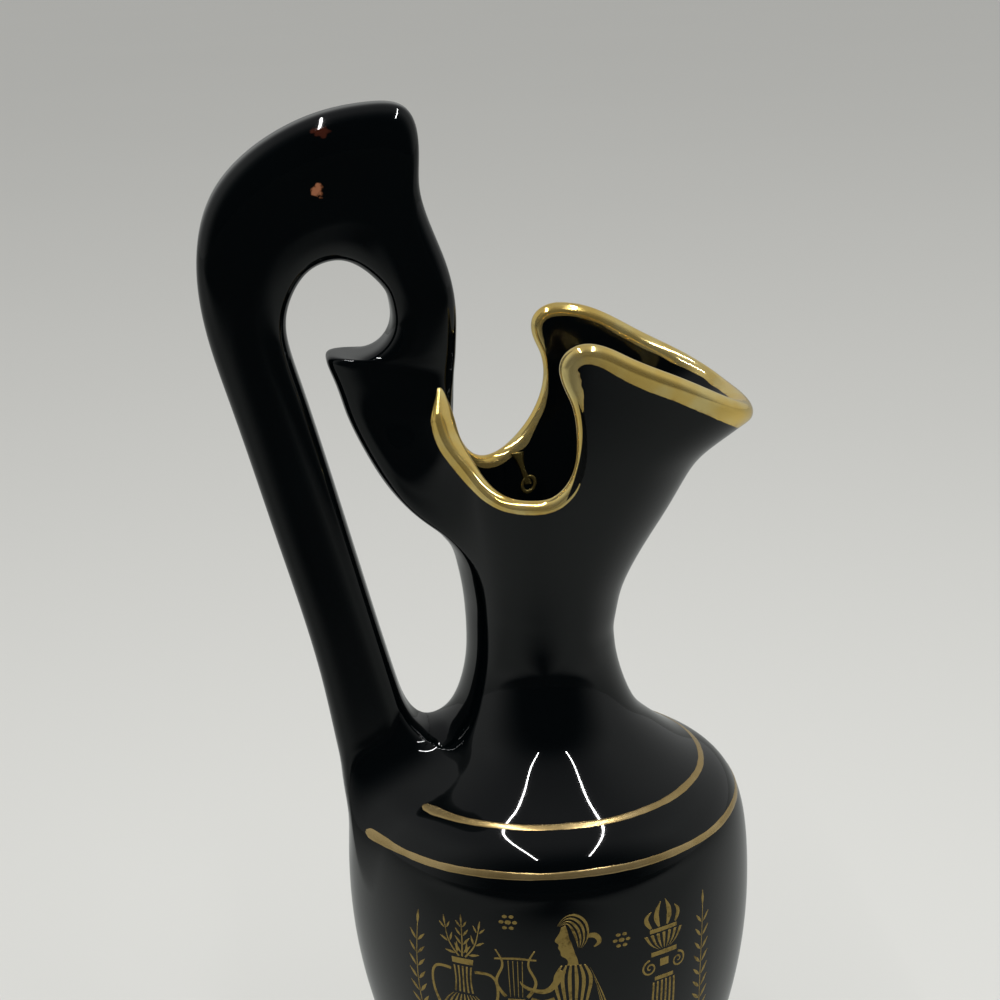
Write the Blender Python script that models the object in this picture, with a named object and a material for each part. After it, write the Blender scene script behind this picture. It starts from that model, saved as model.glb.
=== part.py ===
"""Footed ceramic ewer with a cut-away mouth, a tall curled strap handle and gilded edges.

The vase stands on the XY plane with its turning axis on Z. The pouring spout points to +X and
the handle to -X. All sizes below are millimetres and are scaled to metres once, by MM.
"""

import math

import bpy
import numpy as np

MM = 0.001

# Fit between pieces that are luted or laid on one another
SEAT_GAP = 0.3

# Foot: a turned pedestal with a flat underside
BASE_RADIUS = 22.0
BASE_EDGE = 3.6
BASE_ROUND = 1.2
BASE_CHAMFER = 0.6
BASE_SWEEP_RUN = 5.3
BASE_SWEEP_RISE = 2.4
STEM_RADIUS = 9.2
STEM_HEIGHT = 15.5
STEM_UPRIGHT = 6.0
FOOT_HEIGHT = 26.0
FOOT_SEAT_RADIUS = 13.6

# Belly: a hollow bowl that swells to the shoulder and closes in to the neck seat
WALL = 3.2
FLOOR = 6.0
FLOOR_ROUND = 2.0
BELLY_RADIUS = 34.6
BELLY_RISE = 61.0
BELLY_FULLNESS = 30.0
SHOULDER_RISE = 20.2
SHOULDER_RADIUS = 27.2
SHOULDER_ROUND = 3.7
SLOPE_RUN = 4.5
SLOPE_DROP = 3.1
NECK_SEAT_RISE = 7.8
NECK_SEAT_RADIUS = 16.8

# Neck: from its splayed seat on the shoulder to its narrow waist
NECK_RADIUS = 12.4
WAIST_RISE = 15.0
WAIST_UPRIGHT = 6.5
NECK_SPLAY_RUN = 1.7
NECK_SPLAY_RISE = 3.3

# Mouth: heights are above the waist, widths from the axis
RIM_BEAD_RADIUS = 1.9
SPOUT_REACH = 33.8
SPOUT_RISE = 38.6
HORN_RISE = 51.6
HORN_OFFSET = 7.0
MOUTH_HALF_WIDTH = 18.0
NOTCH_RISE = 27.0
NOTCH_HALF_WIDTH = 14.8
WAIST_PULL = 0.42
EDGE_PULL = 5.5
EDGE_LIFT = 1.6

# Handle: a flat strap that climbs from the shoulder, curls over and runs down into the mouth
JOINT_RISE = 35.0
JOINT_FRONT = 13.4
JOINT_BACK = 27.6
JOINT_HALF_WIDTH = 7.4
HANDLE_THICKNESS = 10.4
HANDLE_REACH = 52.0
CREST_RISE = 89.6
STRAP_WIDTH = 11.5
EYE_RADIUS = 8.1
EYE_RISE = 58.3
EYE_OFFSET = 30.4

# Gilding: bands that stand for the fired gold
LINE_WIDTH = 1.4
LINE_THICKNESS = 0.4
UPPER_LINE_RADIUS = 26.8
UPPER_LINE_OPENING = 65.0
LOWER_LINE_RADIUS = 32.7
LOWER_LINE_OPENING = 41.0
BOWL_LINE_RADIUS = 25.0
FOOT_LINE_HEIGHT = 1.8
CLOSED_LINE_OPENING = 2.0

# Mesh fineness
TURN_STEPS = 40
MOUTH_STEPS = 56
MOUTH_ROWS = 8
HANDLE_RINGS = 40
HANDLE_SIDES = 16
LINE_STEPS = 36

# Heights of the stacked pieces, worked out from the rises above
BELLY_WIDEST = FOOT_HEIGHT + BELLY_RISE
SHOULDER_HEIGHT = BELLY_WIDEST + SHOULDER_RISE
NECK_SEAT_HEIGHT = SHOULDER_HEIGHT + NECK_SEAT_RISE
WAIST_HEIGHT = NECK_SEAT_HEIGHT + WAIST_RISE
JOINT_HEIGHT = WAIST_HEIGHT + JOINT_RISE
EYE_HEIGHT = WAIST_HEIGHT + EYE_RISE
CREST_HEIGHT = WAIST_HEIGHT + CREST_RISE

BLACK_GLAZE = ("black_glaze", (0.004, 0.004, 0.005, 1.0), 0.08, 0.0)
GOLD_LUSTRE = ("gold_lustre", (0.83, 0.58, 0.20, 1.0), 0.14, 1.0)


def clear_scene():
    """Take every object out of the open scene."""
    for thing in list(bpy.data.objects):
        bpy.data.objects.remove(thing, do_unlink=True)


def finish_material(spec):
    """The material of this name, made once, with its colour, roughness and metallic value."""
    name, colour, roughness, metallic = spec
    material = bpy.data.materials.get(name) or bpy.data.materials.new(name)
    material.use_nodes = True
    shader = material.node_tree.nodes["Principled BSDF"]
    shader.inputs["Base Color"].default_value = colour
    shader.inputs["Roughness"].default_value = roughness
    shader.inputs["Metallic"].default_value = metallic
    return material


def add_object(name, data, finish):
    """Put mesh or curve data into the scene as one named piece."""
    thing = bpy.data.objects.new(name, data)
    bpy.context.scene.collection.objects.link(thing)
    data.materials.append(finish_material(finish))
    return thing


def add_mesh(name, points, faces, finish, edges=()):
    """A piece from points in millimetres, shaded smooth."""
    mesh = bpy.data.meshes.new(name)
    mesh.from_pydata([tuple(MM * float(c) for c in p) for p in points], list(edges), list(faces))
    mesh.update()
    mesh.shade_smooth()
    return add_object(name, mesh, finish)


def bezier(start, pull_start, pull_end, end, steps):
    """Points of a cubic Bezier curve, both ends included."""
    t = np.linspace(0.0, 1.0, steps)[:, None]
    corners = [np.asarray(p, float) for p in (start, pull_start, pull_end, end)]
    weights = ((1 - t) ** 3, 3 * t * (1 - t) ** 2, 3 * t**2 * (1 - t), t**3)
    return sum(w * p for w, p in zip(weights, corners))


def joined(*stretches):
    """Profile stretches end to end, with each shared point kept once."""
    return np.vstack([stretches[0]] + [s[1:] for s in stretches[1:]])


def inset(profile, distance):
    """A profile moved sideways by a distance, towards the axis for one that runs upwards."""
    slope = np.gradient(profile, axis=0)
    normal = np.stack([-slope[:, 1], slope[:, 0]], axis=1)
    return profile + distance * normal / np.linalg.norm(normal, axis=1)[:, None]


def spline(knots, places, wanted):
    """Natural cubic spline through knots at the given places, read at the wanted places."""
    knots = np.asarray(knots, float)
    places = np.asarray(places, float)
    count = len(places)
    step = np.diff(places)
    system = np.eye(count)
    right = np.zeros_like(knots)
    for i in range(1, count - 1):
        system[i, i - 1 : i + 2] = step[i - 1], 2 * (step[i - 1] + step[i]), step[i]
        rise = (knots[i + 1] - knots[i]) / step[i] - (knots[i] - knots[i - 1]) / step[i - 1]
        right[i] = 6 * rise
    bend = np.linalg.solve(system, right)
    i = np.clip(np.searchsorted(places, wanted, side="right") - 1, 0, count - 2)
    h = step[i][:, None]
    b = ((wanted - places[i])[:, None]) / h
    a = 1 - b
    curve = ((a**3 - a) * bend[i] + (b**3 - b) * bend[i + 1]) * h**2 / 6
    return a * knots[i] + b * knots[i + 1] + curve


def turned(name, profile, finish):
    """A piece turned about Z from a profile of radius and height, by a Screw modifier."""
    points = [(r, 0.0, z) for r, z in profile]
    edges = [(i, i + 1) for i in range(len(points) - 1)]
    thing = add_mesh(name, points, [], finish, edges)
    screw = thing.modifiers.new("turn", "SCREW")
    screw.axis = "Z"
    screw.angle = 2 * math.pi
    screw.steps = TURN_STEPS
    screw.render_steps = TURN_STEPS
    screw.use_merge_vertices = True
    screw.merge_threshold = 0.0001
    screw.use_smooth_shade = True
    return thing


def skin(name, rings, finish):
    """A closed piece from rings of points: neighbours are bridged and both ends are capped."""
    count = len(rings[0])
    points = np.vstack(rings)
    faces = []
    for row in range(len(rings) - 1):
        for i in range(count):
            j = (i + 1) % count
            low, high = row * count, (row + 1) * count
            faces.append((low + i, low + j, high + j, high + i))
    faces.append(tuple(range(count))[::-1])
    faces.append(tuple(range((len(rings) - 1) * count, len(rings) * count)))
    return add_mesh(name, points, faces, finish)


def bowl_profile():
    """The bowl's outside, from the foot seat up to its widest place."""
    seat = (FOOT_SEAT_RADIUS, FOOT_HEIGHT)
    corner = (BELLY_RADIUS, FOOT_HEIGHT + BELLY_FULLNESS)
    widest = (BELLY_RADIUS, BELLY_WIDEST)
    return bezier(seat, between(seat, corner, 2 / 3), between(widest, corner, 2 / 3), widest, 10)


def between(start, end, share):
    """The point a share of the way from start to end."""
    return tuple(a + share * (b - a) for a, b in zip(start, end))


def shoulder_profile():
    """The shoulder's outside: round over the edge, then a slope that hollows into the neck seat."""
    widest = (BELLY_RADIUS, BELLY_WIDEST)
    edge = (SHOULDER_RADIUS, SHOULDER_HEIGHT)
    seat = (NECK_SEAT_RADIUS, NECK_SEAT_HEIGHT)
    over = bezier(
        widest,
        (BELLY_RADIUS, SHOULDER_HEIGHT - SHOULDER_ROUND),
        (SHOULDER_RADIUS + SLOPE_RUN, SHOULDER_HEIGHT - SLOPE_DROP),
        edge,
        8,
    )
    slope = bezier(
        edge,
        (SHOULDER_RADIUS - SLOPE_RUN, SHOULDER_HEIGHT + SLOPE_DROP),
        (NECK_SEAT_RADIUS + NECK_SPLAY_RUN, NECK_SEAT_HEIGHT - NECK_SPLAY_RISE),
        seat,
        7,
    )
    return joined(over, slope)


def neck_profile():
    """The neck's outside, from its seat up to the waist."""
    return bezier(
        (NECK_SEAT_RADIUS, NECK_SEAT_HEIGHT + SEAT_GAP),
        (NECK_SEAT_RADIUS - NECK_SPLAY_RUN, NECK_SEAT_HEIGHT + SEAT_GAP + NECK_SPLAY_RISE),
        (NECK_RADIUS, WAIST_HEIGHT - WAIST_UPRIGHT),
        (NECK_RADIUS, WAIST_HEIGHT),
        6,
    )


def make_foot():
    """The solid pedestal, flat under its disc and flat on top where the bowl sits."""
    top = FOOT_HEIGHT - SEAT_GAP
    waist = (STEM_RADIUS, STEM_HEIGHT)
    disc = (BASE_RADIUS - BASE_ROUND, BASE_EDGE)
    flare = bezier(
        (FOOT_SEAT_RADIUS, top),
        between((FOOT_SEAT_RADIUS, top), (STEM_RADIUS, STEM_HEIGHT + STEM_UPRIGHT), 0.7),
        (STEM_RADIUS, STEM_HEIGHT + STEM_UPRIGHT / 2),
        waist,
        6,
    )
    sweep = bezier(
        waist,
        (STEM_RADIUS, STEM_HEIGHT - STEM_UPRIGHT),
        (disc[0] - BASE_SWEEP_RUN, BASE_EDGE + BASE_SWEEP_RISE),
        disc,
        8,
    )
    edge = (BASE_RADIUS, BASE_EDGE - BASE_ROUND)
    rim = bezier(disc, (BASE_RADIUS, BASE_EDGE), (BASE_RADIUS, BASE_EDGE), edge, 4)
    under = [edge, (BASE_RADIUS, BASE_CHAMFER), (BASE_RADIUS - BASE_CHAMFER, 0.0), (0.0, 0.0)]
    profile = joined(np.vstack([[(0.0, top)], flare]), sweep, rim, np.array(under))
    return turned("foot", profile, BLACK_GLAZE)


def make_belly():
    """The hollow body: inside from the floor up, over the neck seat, and down the outside."""
    outside = joined(bowl_profile(), shoulder_profile())
    inside = inset(outside, WALL)
    floor_height = FOOT_HEIGHT + FLOOR
    inside = inside[inside[:, 1] > floor_height + FLOOR_ROUND]
    inside[-1, 1] = NECK_SEAT_HEIGHT
    floor = [(0.0, floor_height), (inside[0, 0] - FLOOR_ROUND, floor_height)]
    profile = np.vstack([floor, inside, outside[::-1], [(0.0, FOOT_HEIGHT)]])
    return turned("belly", profile, BLACK_GLAZE)


def rim_knots():
    """Half of the mouth's edge: its place, and which way the wall there faces out.

    Each row is x, y, height above the waist, then the azimuth and tilt of the outward face in
    degrees. The edge runs from the spout tip over a horn, down the notch and up to the handle.
    """
    side = MOUTH_HALF_WIDTH
    return np.array([
        (SPOUT_REACH, 0.0, SPOUT_RISE, 0.0, -42.0),
        (SPOUT_REACH - 4.2, 0.70 * side, SPOUT_RISE + 1.8, 34.0, -36.0),
        (SPOUT_REACH - 15.2, 0.94 * side, HORN_RISE - 4.4, 66.0, -24.0),
        (HORN_OFFSET + 2.6, side, HORN_RISE, 84.0, -14.0),
        (HORN_OFFSET - 1.4, side - 0.1, HORN_RISE - 3.6, 90.0, -10.0),
        (HORN_OFFSET - 1.4, side - 0.3, HORN_RISE - 11.6, 94.0, -8.0),
        (HORN_OFFSET - 3.6, side - 0.9, NOTCH_RISE + 4.8, 99.0, -6.0),
        (HORN_OFFSET - 10.0, NOTCH_HALF_WIDTH, NOTCH_RISE, 110.0, -5.0),
        (HORN_OFFSET - 16.0, NOTCH_HALF_WIDTH - 3.6, NOTCH_RISE + 1.4, 118.0, -6.0),
        (0.6 - JOINT_FRONT, JOINT_HALF_WIDTH + 0.8, JOINT_RISE - 2.4, 118.0, -6.0),
    ])


# Where each rim knot's rib starts on the round waist, in degrees from the spout
RIB_ANGLES = (0.0, 18.0, 34.0, 46.0, 56.0, 69.0, 86.0, 105.0, 122.0, 137.0)
JOINT_ANGLES = (147.0, 158.0, 170.0, 180.0)
# How far short of the last rib the gold roll ends, clear of the handle's joint
BEAD_SETBACK = 4.0


def mirrored(rows, odd):
    """Knots of one half carried over the symmetry plane; the odd columns change sign."""
    flipped = np.array(rows, float)[::-1]
    flipped[:, odd] *= -1
    return flipped


def rim_line(angles):
    """Places on the mouth's edge, its outward face and its direction, at waist angles."""
    knots = rim_knots()
    row = np.vstack([mirrored(knots[1:], [1, 3]), knots])
    place = np.concatenate([-np.array(RIB_ANGLES[:0:-1]), RIB_ANGLES])
    read = spline(row, place, angles)
    ahead = spline(row, place, angles + 0.05)[:, :3] - spline(row, place, angles - 0.05)[:, :3]
    azimuth, tilt = np.radians(read[:, 3]), np.radians(read[:, 4])
    face = np.stack([np.cos(azimuth) * np.cos(tilt), np.sin(azimuth) * np.cos(tilt), np.sin(tilt)], 1)
    wall = np.cross(face, ahead)
    wall /= np.linalg.norm(wall, axis=1)[:, None]
    return read[:, :3] + [0.0, 0.0, WAIST_HEIGHT], face, wall


def wall_edge(angles, out):
    """Where the wall stops under the bead, a distance out from its middle, and how it arrives.

    Beside the notches the ribs come up from below rather than square to the edge, so that they
    don't cross one another.
    """
    centre, face, wall = rim_line(angles)
    stop = centre - (RIM_BEAD_RADIUS + SEAT_GAP) * wall
    beside = np.interp(angles, RIB_ANGLES[2:4], (0.0, 1.0)) * np.abs(wall[:, 0])
    way = wall + EDGE_LIFT * beside[:, None] * [0.0, 0.0, 1.0]
    return np.hstack([stop + out * face, way])


def joint_edges():
    """Half of the flat face on which the handle is luted: its outer and its inner edge."""
    depth = JOINT_BACK - JOINT_FRONT
    half = JOINT_HALF_WIDTH
    top = JOINT_HEIGHT
    outer = [
        (-JOINT_FRONT - 0.12 * depth, half, top, 0.0, 0.0, 1.0),
        (-JOINT_FRONT - 0.45 * depth, half, top, -0.1, 0.1, 1.0),
        (-JOINT_BACK + 0.12 * depth, 0.6 * half, top, -0.3, 0.1, 1.0),
        (-JOINT_BACK, 0.0, top, -0.4, 0.0, 1.0),
    ]
    inner = [
        (-JOINT_FRONT, half - WALL, top, 0.0, 0.0, 1.0),
        (-JOINT_FRONT - 0.3, 0.42 * half, top, 0.0, 0.0, 1.0),
        (-JOINT_FRONT - 0.5, 0.2 * half, top, 0.0, 0.0, 1.0),
        (-JOINT_FRONT - 0.5, 0.0, top, 0.0, 0.0, 1.0),
    ]
    return outer, inner


def mouth_edges(angles):
    """Outer edge, inner edge, and the way the wall arrives at each, all round the mouth.

    Under the bead the wall keeps a seat gap to it. Behind, a spline spreads the two edges to
    the back and front of the handle's joint.
    """
    size = np.abs(angles)
    last = RIB_ANGLES[-1]
    lead = np.array(RIB_ANGLES[-2:])
    half_way = np.concatenate([lead, JOINT_ANGLES])
    place = np.concatenate([half_way, 360.0 - half_way[-2::-1]])
    loops = []
    for out, back in zip((WALL / 2, -WALL / 2), joint_edges()):
        half = np.vstack([wall_edge(lead, out), back])
        row = np.vstack([half, mirrored(half[:-1], [1, 4])])
        under_bead = wall_edge(np.minimum(size, last), out)
        behind = spline(row, place, np.maximum(size, last))
        read = np.where((size <= last)[:, None], under_bead, behind)
        read[size >= JOINT_ANGLES[0], 2] = JOINT_HEIGHT
        read[:, [1, 4]] *= np.where(angles < 0, -1.0, 1.0)[:, None]
        arrive = read[:, 3:] / np.linalg.norm(read[:, 3:], axis=1)[:, None]
        loops.append((read[:, :3], arrive))
    return loops


def make_neck_spout():
    """Neck and cut-away mouth in one wall: the outside upwards, over the edge, the inside down."""
    angles = np.linspace(-180.0, 180.0, MOUTH_STEPS, endpoint=False)
    (outer_edge, outer_way), (inner_edge, inner_way) = mouth_edges(angles)
    turn = np.stack([np.cos(np.radians(angles)), np.sin(np.radians(angles))], axis=1)
    outside = neck_profile()
    inside = inset(outside, WALL)
    inside[0, 1], inside[-1, 1] = outside[0, 1], outside[-1, 1]

    def level(radius, height):
        return np.hstack([radius * turn, np.full((len(turn), 1), height)])

    def flare(radius, edge, way):
        """Ribs that leave the waist upright and arrive at the edge along its wall."""
        start = level(radius, WAIST_HEIGHT)
        reach = np.linalg.norm(edge - start, axis=1)[:, None]
        upright = start + WAIST_PULL * reach * [0.0, 0.0, 1.0]
        arriving = edge - EDGE_PULL * way
        t = np.linspace(0.0, 1.0, MOUTH_ROWS)[1:]
        return [
            (1 - k) ** 3 * start + 3 * k * (1 - k) ** 2 * upright + 3 * k**2 * (1 - k) * arriving + k**3 * edge
            for k in t
        ]

    rings = [level(r, z) for r, z in outside] + flare(NECK_RADIUS, outer_edge, outer_way)
    back_down = flare(NECK_RADIUS - WALL, inner_edge, inner_way)[::-1]
    rings += back_down + [level(r, z) for r, z in inside[::-1]]
    count = len(angles)
    faces = []
    for row in range(len(rings)):
        after = (row + 1) % len(rings)
        for i in range(count):
            j = (i + 1) % count
            faces.append((row * count + i, row * count + j, after * count + j, after * count + i))
    return add_mesh("neck_spout", np.vstack(rings), faces, BLACK_GLAZE)


def handle_edges(wanted):
    """The strap's outer and inner edge in the XZ plane, as pairs of points from foot to root.

    The low pairs hold to the shoulder, the middle ones to the reach, the crest and the eye of
    the curl, and the last ones to the joint with the mouth.
    """
    eye_x, eye_z, eye = -EYE_OFFSET, EYE_HEIGHT, EYE_RADIUS
    low, root = SHOULDER_HEIGHT, JOINT_HEIGHT
    crest, reach = CREST_HEIGHT, -HANDLE_REACH

    def on_eye(degrees):
        turn = math.radians(degrees)
        return eye_x + eye * math.cos(turn), eye_z + eye * math.sin(turn)

    foot_x = -BELLY_RADIUS
    strap_low = (foot_x - 2.2, low + 17.0)
    strap_high = (reach + 3.0, root + 10.5)
    middle = between(strap_low, strap_high, 0.5)
    pairs = [
        ((foot_x + 0.4, low - 8.0), (SHOULDER_RADIUS * -0.62, low + 1.0)),
        ((foot_x - 0.3, low + 3.0), (-NECK_SEAT_RADIUS - 4.8, low + 10.2)),
        (strap_low, (strap_low[0] + STRAP_WIDTH, low + 20.0)),
        (middle, (middle[0] + STRAP_WIDTH + 0.5, middle[1] + 2.0)),
        (strap_high, (strap_high[0] + STRAP_WIDTH + 0.9, root + 12.0)),
        ((reach, eye_z + 7.5), on_eye(178.0)),
        ((reach + 5.2, crest - 9.2), on_eye(132.0)),
        ((reach + 17.6, crest - 1.2), on_eye(103.0)),
        ((-0.43 * HANDLE_REACH, crest), on_eye(78.0)),
        ((-0.32 * HANDLE_REACH, crest - 6.0), on_eye(55.0)),
        ((-0.32 * HANDLE_REACH, crest - 13.4), on_eye(30.0)),
        ((-JOINT_FRONT + 0.9, eye_z + 3.6), on_eye(2.0)),
        ((-JOINT_FRONT + 1.4, eye_z - 3.8), on_eye(-36.0)),
        ((-JOINT_FRONT + 1.2, eye_z - 8.6), (eye_x + 1.8, eye_z - eye - 0.4)),
        ((-JOINT_FRONT + 0.8, eye_z - 12.6), (eye_x - 1.9, eye_z - eye - 1.8)),
        ((-JOINT_FRONT + 0.4, root + 5.4), (-JOINT_BACK - 2.4, root + 6.4)),
        ((-JOINT_FRONT, root + SEAT_GAP), (-JOINT_BACK, root + SEAT_GAP)),
    ]
    places = np.linspace(0.0, 1.0, len(pairs))
    outer = spline([p[0] for p in pairs], places, wanted)
    inner = spline([p[1] for p in pairs], places, wanted)
    return outer, inner


def make_handle():
    """The strap as rounded flat sections between its two edges, seated on the shoulder's curve."""
    along = np.linspace(0.0, 1.0, HANDLE_RINGS)
    outer, inner = handle_edges(along)
    half = HANDLE_THICKNESS / 2
    thick = np.interp(along, [0.0, 0.12, 0.3, 0.8, 0.9, 1.0],
                      [half + 2.2, half + 0.6, half, half, half + 0.4, JOINT_HALF_WIDTH])
    square = np.interp(along, [0.0, 0.85, 1.0], [2.5, 2.5, 3.6])
    turn = 2 * math.pi * np.arange(HANDLE_SIDES) / HANDLE_SIDES
    rings = []
    for near, far, y_half, power in zip(inner, outer, thick, square):
        across = np.sign(np.cos(turn)) * np.abs(np.cos(turn)) ** (2 / power)
        sideways = np.sign(np.sin(turn)) * np.abs(np.sin(turn)) ** (2 / power)
        flat = (near + far) / 2 + np.outer(across, (near - far) / 2)
        rings.append(np.stack([flat[:, 0], y_half * sideways, flat[:, 1]], axis=1))
    handle = skin("handle", rings, BLACK_GLAZE)

    seat = inset(joined(bowl_profile(), shoulder_profile(), neck_profile()), -SEAT_GAP)
    profile = np.vstack([[(0.0, seat[-1, 1])], seat[::-1], [(0.0, seat[0, 1])]])
    cutter = turned("shoulder_cutter", profile, BLACK_GLAZE)
    cutter.hide_render = True
    cutter.display_type = "WIRE"
    cut = handle.modifiers.new("seat", "BOOLEAN")
    cut.operation = "DIFFERENCE"
    cut.solver = "EXACT"
    cut.object = cutter
    return handle


def make_rim_gilding():
    """The gold roll along the mouth's edge, from one side of the handle round to the other."""
    ends = RIB_ANGLES[-1] - BEAD_SETBACK
    centre, _, _ = rim_line(np.linspace(-ends, ends, MOUTH_STEPS))
    curve = bpy.data.curves.new("rim_gilding", "CURVE")
    curve.dimensions = "3D"
    curve.bevel_depth = RIM_BEAD_RADIUS * MM
    curve.bevel_resolution = 1
    curve.use_fill_caps = True
    path = curve.splines.new("POLY")
    path.points.add(len(centre) - 1)
    path.points.foreach_set("co", np.hstack([centre * MM, np.ones((len(centre), 1))]).ravel())
    path.use_smooth = True
    return add_object("rim_gilding", curve, GOLD_LUSTRE)


def make_line(name, profile, place, opening):
    """A gold band laid round a turned outside at one place, left open in degrees at the handle.

    The place is a length along the profile. The band's section is a flat bar on the surface.
    """
    length = np.concatenate([[0.0], np.cumsum(np.linalg.norm(np.diff(profile, axis=0), axis=1))])
    stations = place + LINE_WIDTH * np.array([-0.5, 0.0, 0.5])
    line = np.stack([np.interp(stations, length, profile[:, i]) for i in (0, 1)], axis=1)
    low = inset(line, -SEAT_GAP)
    high = inset(line, -SEAT_GAP - LINE_THICKNESS)
    section = np.vstack([low, high[::-1]])
    half = math.radians(180.0 - opening / 2)
    turns = np.linspace(-half, half, LINE_STEPS)
    rings = [
        np.stack([section[:, 0] * math.cos(a), section[:, 0] * math.sin(a), section[:, 1]], axis=1)
        for a in turns
    ]
    return skin(name, rings, GOLD_LUSTRE)


def length_at(profile, radius):
    """How far along an outside profile its radius first comes to a value on the way up and in."""
    length = np.concatenate([[0.0], np.cumsum(np.linalg.norm(np.diff(profile, axis=0), axis=1))])
    order = np.argsort(profile[:, 0])
    return float(np.interp(radius, profile[order, 0], length[order]))


def make_lines():
    """Two open lines on the shoulder and one closed line low on the bowl and on the foot."""
    shoulder, bowl = shoulder_profile(), bowl_profile()
    make_line("shoulder_line_upper", shoulder, length_at(shoulder, UPPER_LINE_RADIUS), UPPER_LINE_OPENING)
    make_line("shoulder_line_lower", shoulder, length_at(shoulder, LOWER_LINE_RADIUS), LOWER_LINE_OPENING)
    make_line("bowl_line", bowl, length_at(bowl, BOWL_LINE_RADIUS), CLOSED_LINE_OPENING)
    edge = np.array([(BASE_RADIUS, 0.0), (BASE_RADIUS, BASE_EDGE)])
    make_line("foot_line", edge, FOOT_LINE_HEIGHT, CLOSED_LINE_OPENING)


def main():
    clear_scene()
    make_foot()
    make_belly()
    make_neck_spout()
    make_handle()
    make_rim_gilding()
    make_lines()


main()
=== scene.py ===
"""Looks of a footed black ewer vase: deep glaze, a gilded lip, brushed gold lines and a gold print.

Sizes are millimetres in the vase's own frame: the origin under the foot, +Z up, +X to the spout
and -X to the handle. They become metres when a mesh is laid.
"""

import logging
import math
from dataclasses import dataclass
from enum import Enum
from typing import Callable, Optional, Sequence, Union

import bpy
import numpy as np
from mathutils import Matrix


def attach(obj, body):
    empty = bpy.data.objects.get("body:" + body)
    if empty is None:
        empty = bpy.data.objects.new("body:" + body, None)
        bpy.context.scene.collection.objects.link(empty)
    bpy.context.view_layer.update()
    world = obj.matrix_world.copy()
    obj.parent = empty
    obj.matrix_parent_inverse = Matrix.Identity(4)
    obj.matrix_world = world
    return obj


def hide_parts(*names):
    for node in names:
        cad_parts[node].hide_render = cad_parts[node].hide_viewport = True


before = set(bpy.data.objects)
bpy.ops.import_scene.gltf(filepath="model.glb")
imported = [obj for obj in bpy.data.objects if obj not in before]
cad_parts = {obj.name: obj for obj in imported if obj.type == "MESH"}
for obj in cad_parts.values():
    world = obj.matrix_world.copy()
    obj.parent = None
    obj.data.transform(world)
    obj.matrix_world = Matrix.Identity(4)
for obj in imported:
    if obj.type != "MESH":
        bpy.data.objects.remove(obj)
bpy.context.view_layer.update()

MM = 0.001
Array = np.ndarray
Colour = tuple[float, float, float]
Places = Sequence[tuple[float, float]]
log = logging.getLogger("ewer")


class Slot(Enum):
    """The record's finishes."""

    GLAZE = "black_glaze"
    GOLD = "gold_lustre"


class Facing(Enum):
    """Which way a printed figure looks."""

    RIGHT = 1
    LEFT = -1


# Curves and grids


class Spline:
    """A natural cubic spline: cubic pieces that share their slope and bend at every knot."""

    def __init__(self, places: Sequence[float], values: Sequence) -> None:
        """Solve for the bend at each knot.

        Args:
            places: Rising parameter of each knot.
            values: A number or a point for each knot.
        """
        self.places = np.asarray(places, float)
        self.values = np.asarray(values, float)
        self.step = np.diff(self.places)
        inner = np.arange(1, len(self.places) - 1)
        system = np.eye(len(self.places))
        system[inner, inner - 1] = self.step[:-1]
        system[inner, inner] = 2 * (self.step[:-1] + self.step[1:])
        system[inner, inner + 1] = self.step[1:]
        slope = np.diff(self.values, axis=0) / self._column(self.step)
        right = np.zeros_like(self.values)
        right[1:-1] = 6 * np.diff(slope, axis=0)
        self.bend = np.linalg.solve(system, right)

    def _column(self, numbers: Array) -> Array:
        """Numbers given a trailing axis where the knots are points."""
        return numbers[..., None] if self.values.ndim > 1 else numbers

    def __call__(self, at: Array) -> Array:
        """Read the curve.

        Args:
            at: Parameters, of any shape.

        Returns:
            The values there, with a last axis for the points' coordinates.
        """
        at = np.asarray(at, float)
        i = np.clip(np.searchsorted(self.places, at, side="right") - 1, 0, len(self.step) - 1)
        h = self._column(self.step[i])
        b = self._column((at - self.places[i]) / self.step[i])
        a = 1 - b
        sag = ((a**3 - a) * self.bend[i] + (b**3 - b) * self.bend[i + 1]) * h**2 / 6
        return a * self.values[i] + b * self.values[i + 1] + sag


def run_length(points: Array) -> Array:
    """Length along a line of points, from 0 at its first point."""
    return np.concatenate([[0.0], np.cumsum(np.linalg.norm(np.diff(points, axis=0), axis=1))])


def curve_through(points: Sequence) -> Spline:
    """A spline through points, with its parameter from 0 to 1 by chord length.

    Args:
        points: Points along the curve, one a row.

    Returns:
        The spline.
    """
    points = np.asarray(points, float)
    length = run_length(points)
    return Spline(length / length[-1], points)


def bezier(start: tuple, pull_start: tuple, pull_end: tuple, end: tuple, steps: int) -> Array:
    """Points of a cubic Bezier curve: the corners weighted by the cubic Bernstein terms.

    Args:
        start: First point.
        pull_start: Handle of the first point.
        pull_end: Handle of the last point.
        end: Last point.
        steps: How many points to return, both ends included.

    Returns:
        The points, one a row.
    """
    t = np.linspace(0.0, 1.0, steps)[:, None]
    weights = ((1 - t) ** 3, 3 * t * (1 - t) ** 2, 3 * t**2 * (1 - t), t**3)
    corners = (start, pull_start, pull_end, end)
    return sum(w * np.asarray(p, float) for w, p in zip(weights, corners))


def between(start: tuple, end: tuple, share: float) -> tuple:
    """The point a share of the way from start to end."""
    return tuple(a + share * (b - a) for a, b in zip(start, end))


def ease(low: float, high: float, at: Array) -> Array:
    """A smooth step: 0 below low, 1 above high, and 3t^2 - 2t^3 between."""
    t = np.clip((np.asarray(at, float) - low) / (high - low), 0.0, 1.0)
    return t * t * (3 - 2 * t)


def hump(middle: float, width: float, at: Array) -> Array:
    """A bell curve, 1 at the middle and about a third at one width from it."""
    return np.exp(-(((np.asarray(at, float) - middle) / width) ** 2))


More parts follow.
